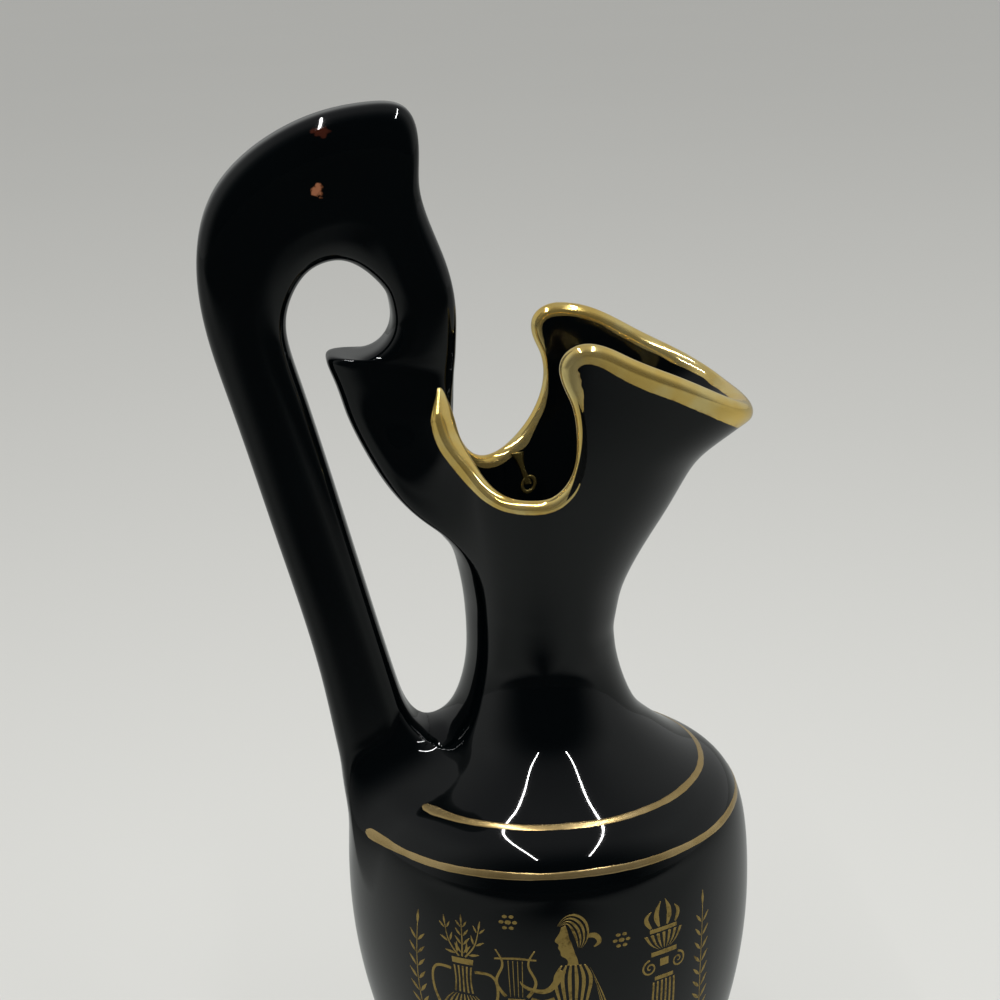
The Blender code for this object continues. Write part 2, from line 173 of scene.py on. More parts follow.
def wander(at: Array, seed: int, waves: Sequence[int]) -> Array:
    """A hand's unsteadiness: sines of whole frequencies with seeded phases, about -1 to 1.

    Args:
        at: Place on the line, where 1 is the whole of it.
        seed: Which hand.
        waves: Frequencies of the sines, the later ones weaker.

    Returns:
        The drift at each place.
    """
    phases = np.random.default_rng(seed).uniform(0, 2 * math.pi, len(waves))
    weights = 1 / np.sqrt(np.arange(1, len(waves) + 1))
    sines = [w * np.sin(2 * math.pi * f * np.asarray(at) + p) for w, f, p in zip(weights, waves, phases)]
    return sum(sines) / weights.sum()


def unit(vectors: Array) -> Array:
    """Vectors scaled to length 1."""
    return vectors / np.maximum(np.linalg.norm(vectors, axis=-1, keepdims=True), 1e-12)


def right_hand(line: Array) -> Array:
    """Normals on the right hand of a flat line of points: its direction turned by a quarter."""
    slope = unit(np.gradient(line, axis=0))
    return np.stack([slope[:, 1], -slope[:, 0]], axis=1)


def end_to_end(stretches: Sequence[Array]) -> Array:
    """One line from stretches that each start where the last one stopped."""
    return np.vstack([stretches[0]] + [s[1:] for s in stretches[1:]])


def dot(a: Array, b: Array) -> Array:
    """Dot products over the last axis, which is kept."""
    return (a * b).sum(-1, keepdims=True)


# Skins: closed surfaces as points and faces


@dataclass
class Skin:
    """One closed surface in millimetres, with a normal and an edge value for each point where it has them."""

    points: Array
    quads: Array
    triangles: Array
    normals: Optional[Array] = None
    edge: Optional[Array] = None

    def outward(self) -> "Skin":
        """Turn the faces round if the enclosed volume comes out negative.

        Returns:
            The same skin.
        """
        split = [self.quads[:, [0, 1, 2]], self.quads[:, [0, 2, 3]], self.triangles]
        corners = self.points[np.vstack(split)]
        if np.linalg.det(corners - self.points.mean(0)).sum() < 0:
            self.quads, self.triangles = self.quads[:, ::-1], self.triangles[:, ::-1]
        return self


def net(rows: int, cols: int, wrap_rows: bool, wrap_cols: bool) -> Array:
    """Quads between neighbouring points of a grid that is stored row by row.

    Args:
        rows: Rows of the grid.
        cols: Points in each row.
        wrap_rows: Whether the last row joins the first.
        wrap_cols: Whether each row is a ring.

    Returns:
        Four point numbers for each quad.
    """
    i, j = np.meshgrid(
        np.arange(rows if wrap_rows else rows - 1),
        np.arange(cols if wrap_cols else cols - 1),
        indexing="ij",
    )
    k, m = (i + 1) % rows, (j + 1) % cols
    corners = [i * cols + j, i * cols + m, k * cols + m, k * cols + j]
    return np.stack(corners, axis=-1).reshape(-1, 4)


NO_TRIANGLES = np.zeros((0, 3), int)


def ring_skin(grid: Array, normals: Array) -> Skin:
    """A skin from a grid that closes on itself both ways."""
    quads = net(*grid.shape[:2], True, True)
    return Skin(grid.reshape(-1, 3), quads, NO_TRIANGLES, normals.reshape(-1, 3)).outward()


def pole_skin(grid: Array, normals: Optional[Array] = None) -> Skin:
    """A skin from a stack of rings, closed at each end by a fan to the end ring's middle.

    Args:
        grid: Points, one ring a row.
        normals: A normal for each point.

    Returns:
        The closed skin.
    """
    rows, cols = grid.shape[:2]
    poles = np.stack([grid[0].mean(0), grid[-1].mean(0)])
    points = np.vstack([grid.reshape(-1, 3), poles])
    ring = np.arange(cols)
    after = (ring + 1) % cols
    first = np.stack([after, ring, np.full(cols, rows * cols)], axis=1)
    base = (rows - 1) * cols
    last = np.stack([base + ring, base + after, np.full(cols, rows * cols + 1)], axis=1)
    if normals is not None:
        ends = unit(np.stack([grid[0].mean(0) - grid[1].mean(0), grid[-1].mean(0) - grid[-2].mean(0)]))
        normals = np.vstack([normals.reshape(-1, 3), ends])
    return Skin(points, net(rows, cols, False, True), np.vstack([first, last]), normals).outward()


def film_skin(grid: Array, normals: Array, lift: float, sink: float, ring: bool = False) -> Skin:
    """A thin film on a host surface: a domed top over the grid and a flat back under it.

    The top stands off by lift * (1 - w^4), with w from -1 to 1 across, and the back lies sink
    below the host, so the film's edges slip under the glaze.

    Args:
        grid: Points of the host, rows along the film and columns across it.
        normals: The host's outward normals there.
        lift: Height of the dome in millimetres.
        sink: Depth of the back in millimetres.
        ring: Whether the last row joins the first.

    Returns:
        The closed film, with how near each point is to a long edge.
    """
    rows, cols = grid.shape[:2]
    across = np.linspace(-1.0, 1.0, cols)
    dome = (lift + sink / 2) * (1 - across**4) - sink / 2
    top = grid + normals * dome[None, :, None]
    back = (grid - normals * sink)[:, ::-1]
    edge = np.tile(np.abs(np.concatenate([across, across[::-1]])), rows)
    loop = np.concatenate([top, back], axis=1)
    quads = [net(rows, 2 * cols, ring, True)]
    if not ring:
        j = np.arange(cols - 1)
        cap = np.stack([j, j + 1, 2 * cols - 2 - j, 2 * cols - 1 - j], axis=1)
        quads += [cap[:, ::-1], cap + (rows - 1) * 2 * cols]
    return Skin(loop.reshape(-1, 3), np.vstack(quads), NO_TRIANGLES, None, edge).outward()


def add_object(name: str, data: bpy.types.ID) -> bpy.types.Object:
    """Put a mesh, a lamp or a camera into the scene.

    Args:
        name: The object's name.
        data: What it shows.

    Returns:
        The object, at the origin.
    """
    thing = bpy.data.objects.new(name, data)
    bpy.context.scene.collection.objects.link(thing)
    return thing


def lay_piece(
    name: str,
    skins: Sequence[Skin],
    finish: bpy.types.Material,
    stands_for: Sequence[str] = (),
) -> None:
    """Put skins into the scene as one piece that rides on the vase.

    Args:
        name: The piece's name.
        skins: Its closed surfaces.
        finish: Its material.
        stands_for: The CAD nodes that it replaces.
    """
    starts = np.cumsum([0] + [len(s.points) for s in skins])
    quads = np.vstack([s.quads + at for s, at in zip(skins, starts)])
    triangles = np.vstack([s.triangles + at for s, at in zip(skins, starts)])
    points = np.vstack([s.points for s in skins]) * MM
    corners = np.concatenate([quads.ravel(), triangles.ravel()]).astype(np.int32)
    sizes = np.concatenate([np.full(len(quads), 4), np.full(len(triangles), 3)])
    mesh = bpy.data.meshes.new(name)
    mesh.vertices.add(len(points))
    mesh.loops.add(len(corners))
    mesh.polygons.add(len(sizes))
    mesh.vertices.foreach_set("co", points.astype(np.float32).ravel())
    mesh.loops.foreach_set("vertex_index", corners)
    mesh.polygons.foreach_set("loop_start", np.concatenate([[0], np.cumsum(sizes)[:-1]]).astype(np.int32))
    mesh.update(calc_edges=True)
    mesh.shade_smooth()
    if all(s.edge is not None for s in skins):
        shade = mesh.attributes.new("film_edge", "FLOAT", "POINT")
        shade.data.foreach_set("value", np.concatenate([s.edge for s in skins]).astype(np.float32))
    if all(s.normals is not None for s in skins):
        mesh.normals_split_custom_set_from_vertices(np.vstack([s.normals for s in skins]).tolist())
    mesh.materials.append(finish)
    thing = add_object(name, mesh)
    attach(thing, "root")
    if stands_for:
        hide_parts(*stands_for)
    log.info("%s: %d points, %d faces", name, len(points), len(sizes))


# Shader arithmetic


class Sock:
    """A shader socket that takes part in arithmetic; each operation adds a Math node."""

    def __init__(self, sheet: "Sheet", socket: bpy.types.NodeSocket) -> None:
        """Wrap an output socket of a sheet."""
        self.sheet = sheet
        self.socket = socket

    def _math(self, operation: str, first: object, second: object = 0.0) -> "Sock":
        """A Math node on two values."""
        return self.sheet.node("ShaderNodeMath", {"operation": operation}, {0: first, 1: second})

    def __add__(self, other: object) -> "Sock":
        """Sum."""
        return self._math("ADD", self, other)

    def __radd__(self, other: object) -> "Sock":
        """Sum with a number on the left."""
        return self._math("ADD", other, self)

    def __sub__(self, other: object) -> "Sock":
        """Difference."""
        return self._math("SUBTRACT", self, other)

    def __rsub__(self, other: object) -> "Sock":
        """Difference from a number."""
        return self._math("SUBTRACT", other, self)

    def __mul__(self, other: object) -> "Sock":
        """Product."""
        return self._math("MULTIPLY", self, other)

    def __rmul__(self, other: object) -> "Sock":
        """Product with a number on the left."""
        return self._math("MULTIPLY", other, self)

    def __pow__(self, other: object) -> "Sock":
        """Power."""
        return self._math("POWER", self, other)

    def __abs__(self) -> "Sock":
        """Size without the sign."""
        return self._math("ABSOLUTE", self)

    def part(self, axis: str) -> "Sock":
        """One coordinate of a vector."""
        return self.sheet.node("ShaderNodeSeparateXYZ", {}, {0: self}, out=axis)

    def most(self, other: object) -> "Sock":
        """The larger of two values."""
        return self._math("MAXIMUM", self, other)

    def step(self, low: float, high: float) -> "Sock":
        """A smooth step from 0 at low to 1 at high.

        Args:
            low: Where it starts to rise.
            high: Where it is up.

        Returns:
            The step.
        """
        return self.sheet.node(
            "ShaderNodeMapRange",
            {"interpolation_type": "SMOOTHSTEP"},
            {"Value": self, "From Min": low, "From Max": high},
        )


class Sheet:
    """A node tree that is being written, with one method that adds any node."""

    def __init__(self, tree: bpy.types.NodeTree) -> None:
        """Start from an empty tree."""
        self.tree = tree
        tree.nodes.clear()

    def node(
        self,
        kind: str,
        settings: Optional[dict] = None,
        sockets: Optional[dict] = None,
        out: Union[int, str] = 0,
    ) -> Sock:
        """Add a node.

        Args:
            kind: Blender's type name of the node.
            settings: Its properties, set first.
            sockets: Values or links of its inputs, by name or number.
            out: The output to return.

        Returns:
            That output, or the node's first input socket where it has no output.
        """
        made = self.tree.nodes.new(kind)
        for key, value in (settings or {}).items():
            setattr(made, key, value)
        for key, value in (sockets or {}).items():
            if isinstance(value, Sock):
                self.tree.links.new(value.socket, made.inputs[key])
            elif isinstance(value, tuple) and len(value) == 3 and made.inputs[key].type == "RGBA":
                made.inputs[key].default_value = (*value, 1.0)
            else:
                made.inputs[key].default_value = value
        return Sock(self, made.outputs[out] if made.outputs else made.inputs[0])

    def place(self) -> Sock:
        """The point being shaded, in the piece's own metres."""
        return self.node("ShaderNodeTexCoord", out="Object")

    def glossy(self) -> Sock:
        """A mask that is 1 for a ray that a reflection sends."""
        return self.node("ShaderNodeLightPath", out="Is Glossy Ray")

    def noise(self, scale: float, detail: float, rough: float = 0.5) -> Sock:
        """Noise of a scale in cycles a metre, about 0 to 1."""
        spot = {"Vector": self.place(), "Scale": scale, "Detail": detail, "Roughness": rough}
        return self.node("ShaderNodeTexNoise", {}, spot)

    def near(self, middle: tuple[float, float, float], radius: float, ragged: float) -> Sock:
        """A mask that is 1 inside a ragged ball round a point given in millimetres.

        Args:
            middle: The ball's middle.
            radius: Its radius.
            ragged: How far its edge wanders.

        Returns:
            The mask.
        """
        apart = self.node(
            "ShaderNodeVectorMath",
            {"operation": "DISTANCE"},
            {0: self.place(), 1: tuple(MM * c for c in middle)},
            out="Value",
        )
        torn = apart + (self.noise(900.0, 3.0) - 0.5) * (ragged * MM)
        return 1 - torn.step(0.6 * radius * MM, radius * MM)

    def blend(self, share: object, first: object, second: object) -> Sock:
        """A colour a share of the way from first to second."""
        return self.node("ShaderNodeMix", {"data_type": "RGBA"}, {0: share, 6: first, 7: second}, out=2)

    def bump(self, height: Sock, depth: float) -> Sock:
        """A normal tilted by a height from 0 to 1 that stands for a depth in millimetres."""
        return self.node("ShaderNodeBump", {}, {"Height": height, "Distance": depth * MM})

    def principled(self, **sockets: object) -> None:
        """The surface: a Principled shader with these inputs, spelt with _ for a space."""
        named = {key.replace("_", " "): value for key, value in sockets.items()}
        shader = self.node("ShaderNodeBsdfPrincipled", {}, named)
        self.node("ShaderNodeOutputMaterial", {}, {"Surface": shader})


def new_sheet(name: str) -> tuple[bpy.types.Material, Sheet]:
    """A new material and the sheet to write it on.

    Args:
        name: The material's name.

    Returns:
        The material and its sheet.
    """
    material = bpy.data.materials.new(name)
    material.use_nodes = True
    return material, Sheet(material.node_tree)


# Finishes


@dataclass(frozen=True)
class BlackGlaze:
    """Deep black glaze: wet gloss, a faint orange-peel, dust in it, and bare clay where it missed."""

    colour: Colour = (0.0004, 0.0008, 0.0010)
    cloud_gain: float = 1.9
    clay: Colour = (0.26, 0.088, 0.032)
    thinned: Colour = (0.06, 0.014, 0.007)
    dusty: Colour = (0.11, 0.10, 0.09)
    dust_cells: float = 130.0
    gloss: float = 0.035
    peel_depth: float = 0.012
    raggedness: float = 2.4
    bare_spot: tuple[float, float, float] = (-32.7, -5.2, 207.5)
    bare_radius: float = 1.15
    thin_spot: tuple[float, float, float] = (-31.6, -4.9, 216.2)
    thin_radius: float = 1.3

    def material(self) -> bpy.types.Material:
        """Write the glaze.

        Returns:
            The material.
        """
        material, sheet = new_sheet("black_glaze")
        bare = sheet.near(self.bare_spot, self.bare_radius, self.raggedness)
        thin = sheet.near(self.thin_spot, self.thin_radius, self.raggedness)
        cells = {"Vector": sheet.place(), "Scale": self.dust_cells, "Randomness": 1.0}
        speck = sheet.node("ShaderNodeTexVoronoi", {}, cells, out="Distance")
        chosen = sheet.noise(55.0, 1.0).step(0.60, 0.66)
        dust = (1 - speck.step(0.012, 0.03)) * chosen
        cloud = sheet.noise(38.0, 3.0)
        body = sheet.blend(cloud, self.colour, tuple(self.cloud_gain * c for c in self.colour))
        body = sheet.blend(dust * 0.6, body, self.dusty)
        body = sheet.blend(thin * 0.5, body, self.thinned)
        body = sheet.blend(bare, body, self.clay)
        film = sheet.noise(24.0, 4.0).step(0.45, 0.75)
        rough = film * 0.03 + self.gloss + dust * 0.25 + bare * 0.45
        peel = sheet.noise(210.0, 2.0) * 0.7 + sheet.noise(60.0, 1.0) * 0.6 + dust * 0.5 - bare * 1.5
        normal = sheet.bump(peel, self.peel_depth)
        sheet.principled(Base_Color=body, Roughness=rough, Normal=normal, IOR=1.52)
        return material


@dataclass(frozen=True)
class GoldLustre:
    """Fired bright gold: a mirror with brush marks, browner and duller where the film thins out."""

    name: str = "gold_lustre"
    colour: Colour = (0.98, 0.69, 0.19)
    pale: Colour = (1.0, 0.81, 0.34)
    thin: Colour = (0.42, 0.19, 0.05)
    gloss: float = 0.085
    ripple_depth: float = 0.03
    metal: float = 0.87

    def material(self) -> bpy.types.Material:
        """Write the gold.

        Returns:
            The material.
        """
        material, sheet = new_sheet(self.name)
        edge = sheet.node("ShaderNodeAttribute", {"attribute_name": "film_edge"}, out="Fac")
        cloud = sheet.noise(160.0, 3.0)
        worn = (edge + (sheet.noise(700.0, 3.0) - 0.5) * 0.5).step(0.72, 1.02)
        body = sheet.blend(cloud.step(0.35, 0.7), self.colour, self.pale)
        body = sheet.blend(worn * 0.8, body, self.thin)
        rough = cloud * 0.08 + self.gloss + worn * 0.16
        ripple = sheet.noise(420.0, 2.0) * 0.5 + sheet.noise(1600.0, 1.0) * 0.15
        normal = sheet.bump(ripple, self.ripple_depth)
        sheet.principled(Base_Color=body, Roughness=rough, Metallic=self.metal, Normal=normal)
        return material


@dataclass(frozen=True)
class GoldPrint:
    """Printed bronze gold: flatter and browner than the brushed gold, with a fine broken grain."""

    colour: Colour = (0.40, 0.285, 0.085)
    dark: Colour = (0.13, 0.085, 0.02)
    gloss: float = 0.42
    metal: float = 0.75
    grain_depth: float = 0.02

    def material(self) -> bpy.types.Material:
        """Write the print.

        Returns:
            The material.
        """
        material, sheet = new_sheet("gold_print")
        grain = sheet.noise(1500.0, 4.0, rough=0.7)
        patch = sheet.noise(240.0, 3.0)
        share = (grain * 0.7 + patch * 0.5).step(0.38, 0.62)
        body = sheet.blend(share, self.dark, self.colour)
        rough = self.gloss + 0.18 * (1 - share)
        normal = sheet.bump(grain, self.grain_depth)
        sheet.principled(Base_Color=body, Roughness=rough, Metallic=self.metal, Normal=normal)
        return material


@dataclass(frozen=True)
class PalePaper:
    """The studio's seamless paper: pale grey with a faint tooth, and painted shade that reflections see,
    darker in front and near black ahead.
    """

    colour: Colour = (0.635, 0.635, 0.612)
    # Painted shade: colours that reflections see in place of the paper
    shade_in_reflections: Colour = (0.33, 0.34, 0.33)
    shaded: Colour = (0.20, 0.21, 0.20)
    dark: Colour = (0.012, 0.012, 0.013)
    shade_middle: float = -0.05
    front_start: tuple[float, float] = (-0.05, 0.15)
    front_side: tuple[float, float] = (0.2, 0.75)
    column_start: tuple[float, float] = (0.1, 0.42)
    column_side: tuple[float, float] = (0.0, 0.26)
    deep_start: tuple[float, float] = (0.4, 0.9)
    deep_spread: tuple[float, float] = (0.6, 3.0)

    def material(self) -> bpy.types.Material:
        """Write the paper.

        Returns:
            The material.
        """
        material, sheet = new_sheet("pale_paper")
        place = sheet.place()
        aside = abs(place.part("X") - self.shade_middle)
        ahead = place.part("Y") * -1.0
        # Masks for the painted shade in reflections: darker in front, near black in a column and a far zone
        # ahead
        front = ahead.step(*self.front_start) * (1 - aside.step(*self.front_side))
        column = ahead.step(*self.column_start) * (1 - aside.step(*self.column_side))
        spread = aside * ((ahead.most(0.0) + 0.3) ** -1.0)
        deep = column.most(ahead.step(*self.deep_start) * (1 - spread.step(*self.deep_spread)))
        paper = sheet.blend(sheet.noise(3.0, 2.0), tuple(0.98 * c for c in self.colour), self.colour)
        shade_in_reflections = sheet.blend(deep, sheet.blend(front, self.shade_in_reflections, self.shaded), self.dark)
        # Reflections see the floor with the painted shade; camera and diffuse rays see the plain paper
        sheet.principled(Base_Color=sheet.blend(sheet.glossy(), paper, shade_in_reflections), Roughness=0.9)
        return material


# Where clay meets clay


# How far inside the other clay a point is still drawn out to a joint, in joint sizes
DRAWN_DEPTH = 0.6


class StrapEnd:
    """One end of the strap as a level function: flat ovals at every height between two edges."""

    def __init__(self, rows: Sequence[tuple[float, float, float, float]], flatness: float) -> None:
        """Fit the edges.

        Args:
            rows: Height, the two edges' places along x and half the thickness, from low to high.
            flatness: Power of the ovals.
        """
        table = np.array(rows)
        self._edges = Spline(table[:, 0], table[:, 1:])
        self.flatness = flatness

    def level(self, points: Array) -> Array:
        """(|across|^n + |sideways|^n)^(1/n) - 1 on the oval at a point's height, negative inside.

        Args:
            points: Points in space.

        Returns:
            The level at each point.
        """
        first, second, half = np.moveaxis(self._edges(points[..., 2]), -1, 0)
        across = np.abs((2 * points[..., 0] - first - second) / (first - second))
        sideways = np.abs(points[..., 1]) / half
        power = self.flatness
        return (across**power + sideways**power + 1e-9) ** (1 / power) - 1

    def gap(self, points: Array) -> tuple[Array, Array]:
        """Signed distance from the strap, as the level over the steepness of the level.

        Args:
            points: Points in space, one a row.

        Returns:
            Distances, negative inside, and outward normals.
        """
        d = 1e-3
        ways = np.eye(3) * d
        slope = np.stack([self.level(points + w) - self.level(points - w) for w in ways], axis=-1) / (2 * d)
        steep = np.maximum(np.linalg.norm(slope, axis=-1), 1e-6)
        return self.level(points) / steep, slope / steep[..., None]


@dataclass
class ClayJoin:
    """A smoothed joint between the strap and a wall, as a finger leaves it in wet clay.

    The joint is the zero level of the two distances' smooth minimum, min(a, b) - (k / 4) h^2 with
    h = max(1 - |a - b| / k, 0), where k is the joint's size, less where both face the same way.
    """

    strap: StrapEnd
    wall_gap: Callable[[Array], tuple[Array, Array]]
    size: float
    low: float
    high: float
    front: float
    fade: float = 6.0
    opposed: float = -0.95
    opposed_span: float = 0.35
    alike_loss: float = 0.8
    alike_span: tuple[float, float] = (0.3, 0.95)
    skin_span: tuple[float, float] = (-1.2, -0.6)
    reach: float = 1.2
    rounds: int = 8
    pace: float = 0.9
    least_slope: float = 0.2

    def _blend(self, points: Array, off: Array) -> tuple[Array, Array]:
        """The smooth minimum at points and its slope, with the strap's skin set off by a distance.

        Args:
            points: Points in space, one a row.
            off: The strap's own offset at each point.

        Returns:
            The values and their slopes.
        """
        (a, a_face), (b, b_face) = self.strap.gap(points), self.wall_gap(points)
        a = a - off
        size = self.size * (1 - self.alike_loss * ease(*self.alike_span, (a_face * b_face).sum(1)))
        near = np.clip(1 - np.abs(a - b) / size, 0.0, None)
        value = np.minimum(a, b) - size / 4 * near**2
        share = np.where(a < b, 1 - near / 2, near / 2)[:, None]
        return value, share * a_face + (1 - share) * b_face

    def _reach(self, points: Array) -> Array:
        """How much of the joint each point takes by its place: none past the joint's ends.

        Args:
            points: Points in space, one a row.

        Returns:
            Shares from 0 to 1.
        """
        rise = ease(self.low, self.low + self.fade, points[:, 2])
        fall = 1 - ease(self.high, self.high + self.fade, points[:, 2])
        return rise * fall * (1 - ease(self.front - self.fade, self.front, points[:, 0]))

    def smoothed(
        self, points: Array, normals: Array, on_strap: bool, deep: float = DRAWN_DEPTH
    ) -> tuple[Array, Array]:
        """Move a surface's points onto the joint, where they lie in the open or just under it.

        Args:
            points: Points on the strap or the wall, one a row.
            normals: Their normals.
            on_strap: Whether they belong to the strap.
            deep: How far inside the other clay a point is still drawn out, in joint sizes.

        Returns:
            The moved points and their normals.
        """
        points, normals = points.copy(), normals.copy()
        chosen = np.flatnonzero((points[:, 2] > self.low) & (points[:, 2] < self.high + self.fade))
        (own, _), (other, face) = self.strap.gap(points[chosen]), self.wall_gap(points[chosen])
        if not on_strap:
            own, (other, face) = 0 * own, self.strap.gap(points[chosen])
        close = np.abs(other) < self.reach * self.size
        chosen, off, other, face = chosen[close], own[close], other[close], face[close]
        if len(chosen) == 0:
            return points, normals
        at_wall = 1 - ease(0.0, 0.8 * self.size, other)
        off = off * (1 - ease(*self.skin_span, off) * at_wall)
        moved = points[chosen].copy()
        for _ in range(self.rounds):
            value, slope = self._blend(moved, off)
            stride = self.pace * value / np.maximum((slope**2).sum(1), self.least_slope)
            moved -= stride[:, None] * slope
        slope = unit(self._blend(moved, off)[1])
        share = self._reach(points[chosen]) * ease(-deep * self.size, -0.4 * deep * self.size, other)
        facing = (normals[chosen] * face).sum(1)
        share = (share * ease(self.opposed, self.opposed + self.opposed_span, facing))[:, None]
        turn = share * ease(0.0, 0.25 * self.size, self.size - other)[:, None]
        points[chosen] += share * (moved - points[chosen])
        normals[chosen] = unit(normals[chosen] + turn * (slope - normals[chosen]))
        return points, normals

    def smoothed_grid(
        self, grid: Array, normals: Array, on_strap: bool, deep: float = DRAWN_DEPTH
    ) -> tuple[Array, Array]:
        """The same for a grid of points."""
        points, faces = self.smoothed(grid.reshape(-1, 3), normals.reshape(-1, 3), on_strap, deep)
        return points.reshape(grid.shape), faces.reshape(grid.shape)


# The turned body


@dataclass
class TurnedOutline:
    """The vase's outside as it leaves the wheel, from the foot's seat up to the neck's waist.

    The outline is a chain of Bezier curves of radius and height, smoothed along its length so
    that reflections run over the joins.
    """

    foot_height: float = 26.0
    foot_seat_radius: float = 13.6
    belly_radius: float = 34.6
    belly_rise: float = 61.0
    belly_fullness: float = 30.0
    shoulder_rise: float = 20.2
    shoulder_radius: float = 27.2
    shoulder_round: float = 3.7
    slope_run: float = 4.5
    slope_drop: float = 2.3
    slope_inner: float = 0.76
    seat_rise: float = 8.06
    seat_radius: float = 16.98
    neck_radius: float = 12.4
    waist_rise: float = 14.74
    waist_upright: float = 5.2
    splay_run: float = 1.87
    splay_rise: float = 1.92
    softness: float = 1.6
    fineness: float = 0.1
    bowl_steps: int = 400
    steps: int = 300

    def __post_init__(self) -> None:
        """Work out the heights, the smoothed line, its lengths and its outward normals."""
        self.widest = self.foot_height + self.belly_rise
        self.shoulder = self.widest + self.shoulder_rise
        self.seat = self.shoulder + self.seat_rise
        self.waist = self.seat + self.waist_rise
        self.line = self._smoothed(self._chain())
        self.length = run_length(self.line)
        self.normal = right_hand(self.line)

    def _chain(self) -> Array:
        """The Bezier stretches end to end: bowl, shoulder edge, slope and neck.

        Returns:
            Radius and height, one point a row.
        """
        foot = (self.foot_seat_radius, self.foot_height)
        corner = (self.belly_radius, self.foot_height + self.belly_fullness)
        widest = (self.belly_radius, self.widest)
        edge = (self.shoulder_radius, self.shoulder)
        seat = (self.seat_radius, self.seat)
        waist = (self.neck_radius, self.waist)
        bowl_pulls = (between(foot, corner, 2 / 3), between(widest, corner, 2 / 3))
        run, drop = self.slope_run, self.slope_drop
        stretches = [
            bezier(foot, *bowl_pulls, widest, self.bowl_steps),
            bezier(
                widest,
                (self.belly_radius, self.shoulder - self.shoulder_round),
                (edge[0] + run, edge[1] - drop),
                edge,
                self.steps,
            ),
            bezier(
                edge,
                (edge[0] - self.slope_inner * run, edge[1] + self.slope_inner * drop),
                (seat[0] + self.splay_run, seat[1] - self.splay_rise),
                seat,
                self.steps,
            ),
            bezier(
                seat,
                (seat[0] - self.splay_run, seat[1] + self.splay_rise),
                (waist[0], waist[1] - self.waist_upright),
                waist,
                self.steps,
            ),
        ]
        return end_to_end(stretches)

    def _smoothed(self, chain: Array) -> Array:
        """Even steps along a chain, averaged under a bell curve, with straight runs past both ends.

        Args:
            chain: The points to smooth.

        Returns:
            Points about one fineness apart.
        """
        length = run_length(chain)
        count = int(length[-1] / self.fineness)
        even = np.stack([np.interp(np.linspace(0, length[-1], count), length, c) for c in chain.T], axis=1)
        reach = int(3 * self.softness / self.fineness)
        steps = np.arange(1, reach + 1)[:, None]
        before = even[0] - steps[::-1] * (even[1] - even[0])
        after = even[-1] + steps * (even[-1] - even[-2])
        weights = hump(0.0, math.sqrt(2) * self.softness, np.arange(-reach, reach + 1) * self.fineness)
        weights /= weights.sum()
        padded = np.vstack([before, even, after])
        return np.stack([np.convolve(c, weights, mode="valid") for c in padded.T], axis=1)

    def at(self, length: Array) -> tuple[Array, Array]:
        """Read the outline.

        Args:
            length: Lengths along it from the foot's seat.

        Returns:
            Radius and height, and the outward normal in the same plane.
        """
        point = np.stack([np.interp(length, self.length, c) for c in self.line.T], axis=-1)
        normal = np.stack([np.interp(length, self.length, c) for c in self.normal.T], axis=-1)
        return point, unit(normal)

    def length_at_height(self, height: Array) -> Array:
        """Length along the outline where it comes to a height."""
        return np.interp(height, self.line[:, 1], self.length)

    def length_at_radius(self, radius: float, above: float) -> float:
        """Length along the outline, above a height, where it comes in to a radius.

        Args:
            radius: The radius looked for.
            above: The height to look above.

        Returns:
            The length.
        """
        kept = self.line[:, 1] > above
        order = np.argsort(self.line[kept, 0])
        return float(np.interp(radius, self.line[kept, 0][order], self.length[kept][order]))

    def around(self, length: Array, azimuth: Array) -> tuple[Array, Array]:
        """Points and normals on the turned surface.

        Args:
            length: Lengths along the outline.
            azimuth: Angles about the axis from the spout, in radians.

        Returns:
            Points and outward normals.
        """
        (point, normal), turn = self.at(length), (np.cos(azimuth), np.sin(azimuth))
        spots = [point[..., 0] * turn[0], point[..., 0] * turn[1], point[..., 1] + 0 * azimuth]
        faces = [normal[..., 0] * turn[0], normal[..., 0] * turn[1], normal[..., 1] + 0 * azimuth]
        return np.stack(spots, axis=-1), np.stack(faces, axis=-1)

    def gap(self, points: Array) -> tuple[Array, Array]:
        """Signed distance of points from the turned surface.

        Args:
            points: Points in space.

        Returns:
            Distances, negative inside, and the surface's normals at the nearest places.
        """
        radius = np.hypot(points[:, 0], points[:, 1])
        flat = np.stack([radius, points[:, 2]], axis=1)
        line, normal = self.line[::4], self.normal[::4]
        nearest = np.argmin(((flat[:, None] - line[None]) ** 2).sum(-1), axis=1)
        away = ((flat - line[nearest]) * normal[nearest]).sum(1)
        turn = points[:, :2] / np.maximum(radius, 1e-9)[:, None]
        return away, np.column_stack([normal[nearest, :1] * turn, normal[nearest, 1]])


def lathe(profile: Array, normals: Array, turns: int) -> tuple[Array, Array]:
    """Carry a profile of radius and height round the axis.

    Args:
        profile: Radius and height, one point a row.
        normals: Outward normals in the same plane.
        turns: Points in each ring.

    Returns:
        A grid of points and a grid of normals, one ring a row.
    """
    angle = 2 * math.pi * np.arange(turns) / turns
    cos, sin = np.cos(angle), np.sin(angle)
    parts = [
        np.stack([np.outer(p[:, 0], cos), np.outer(p[:, 0], sin), np.outer(p[:, 1], np.ones(turns))], axis=-1)
        for p in (profile, normals)
    ]
    return parts[0], parts[1]


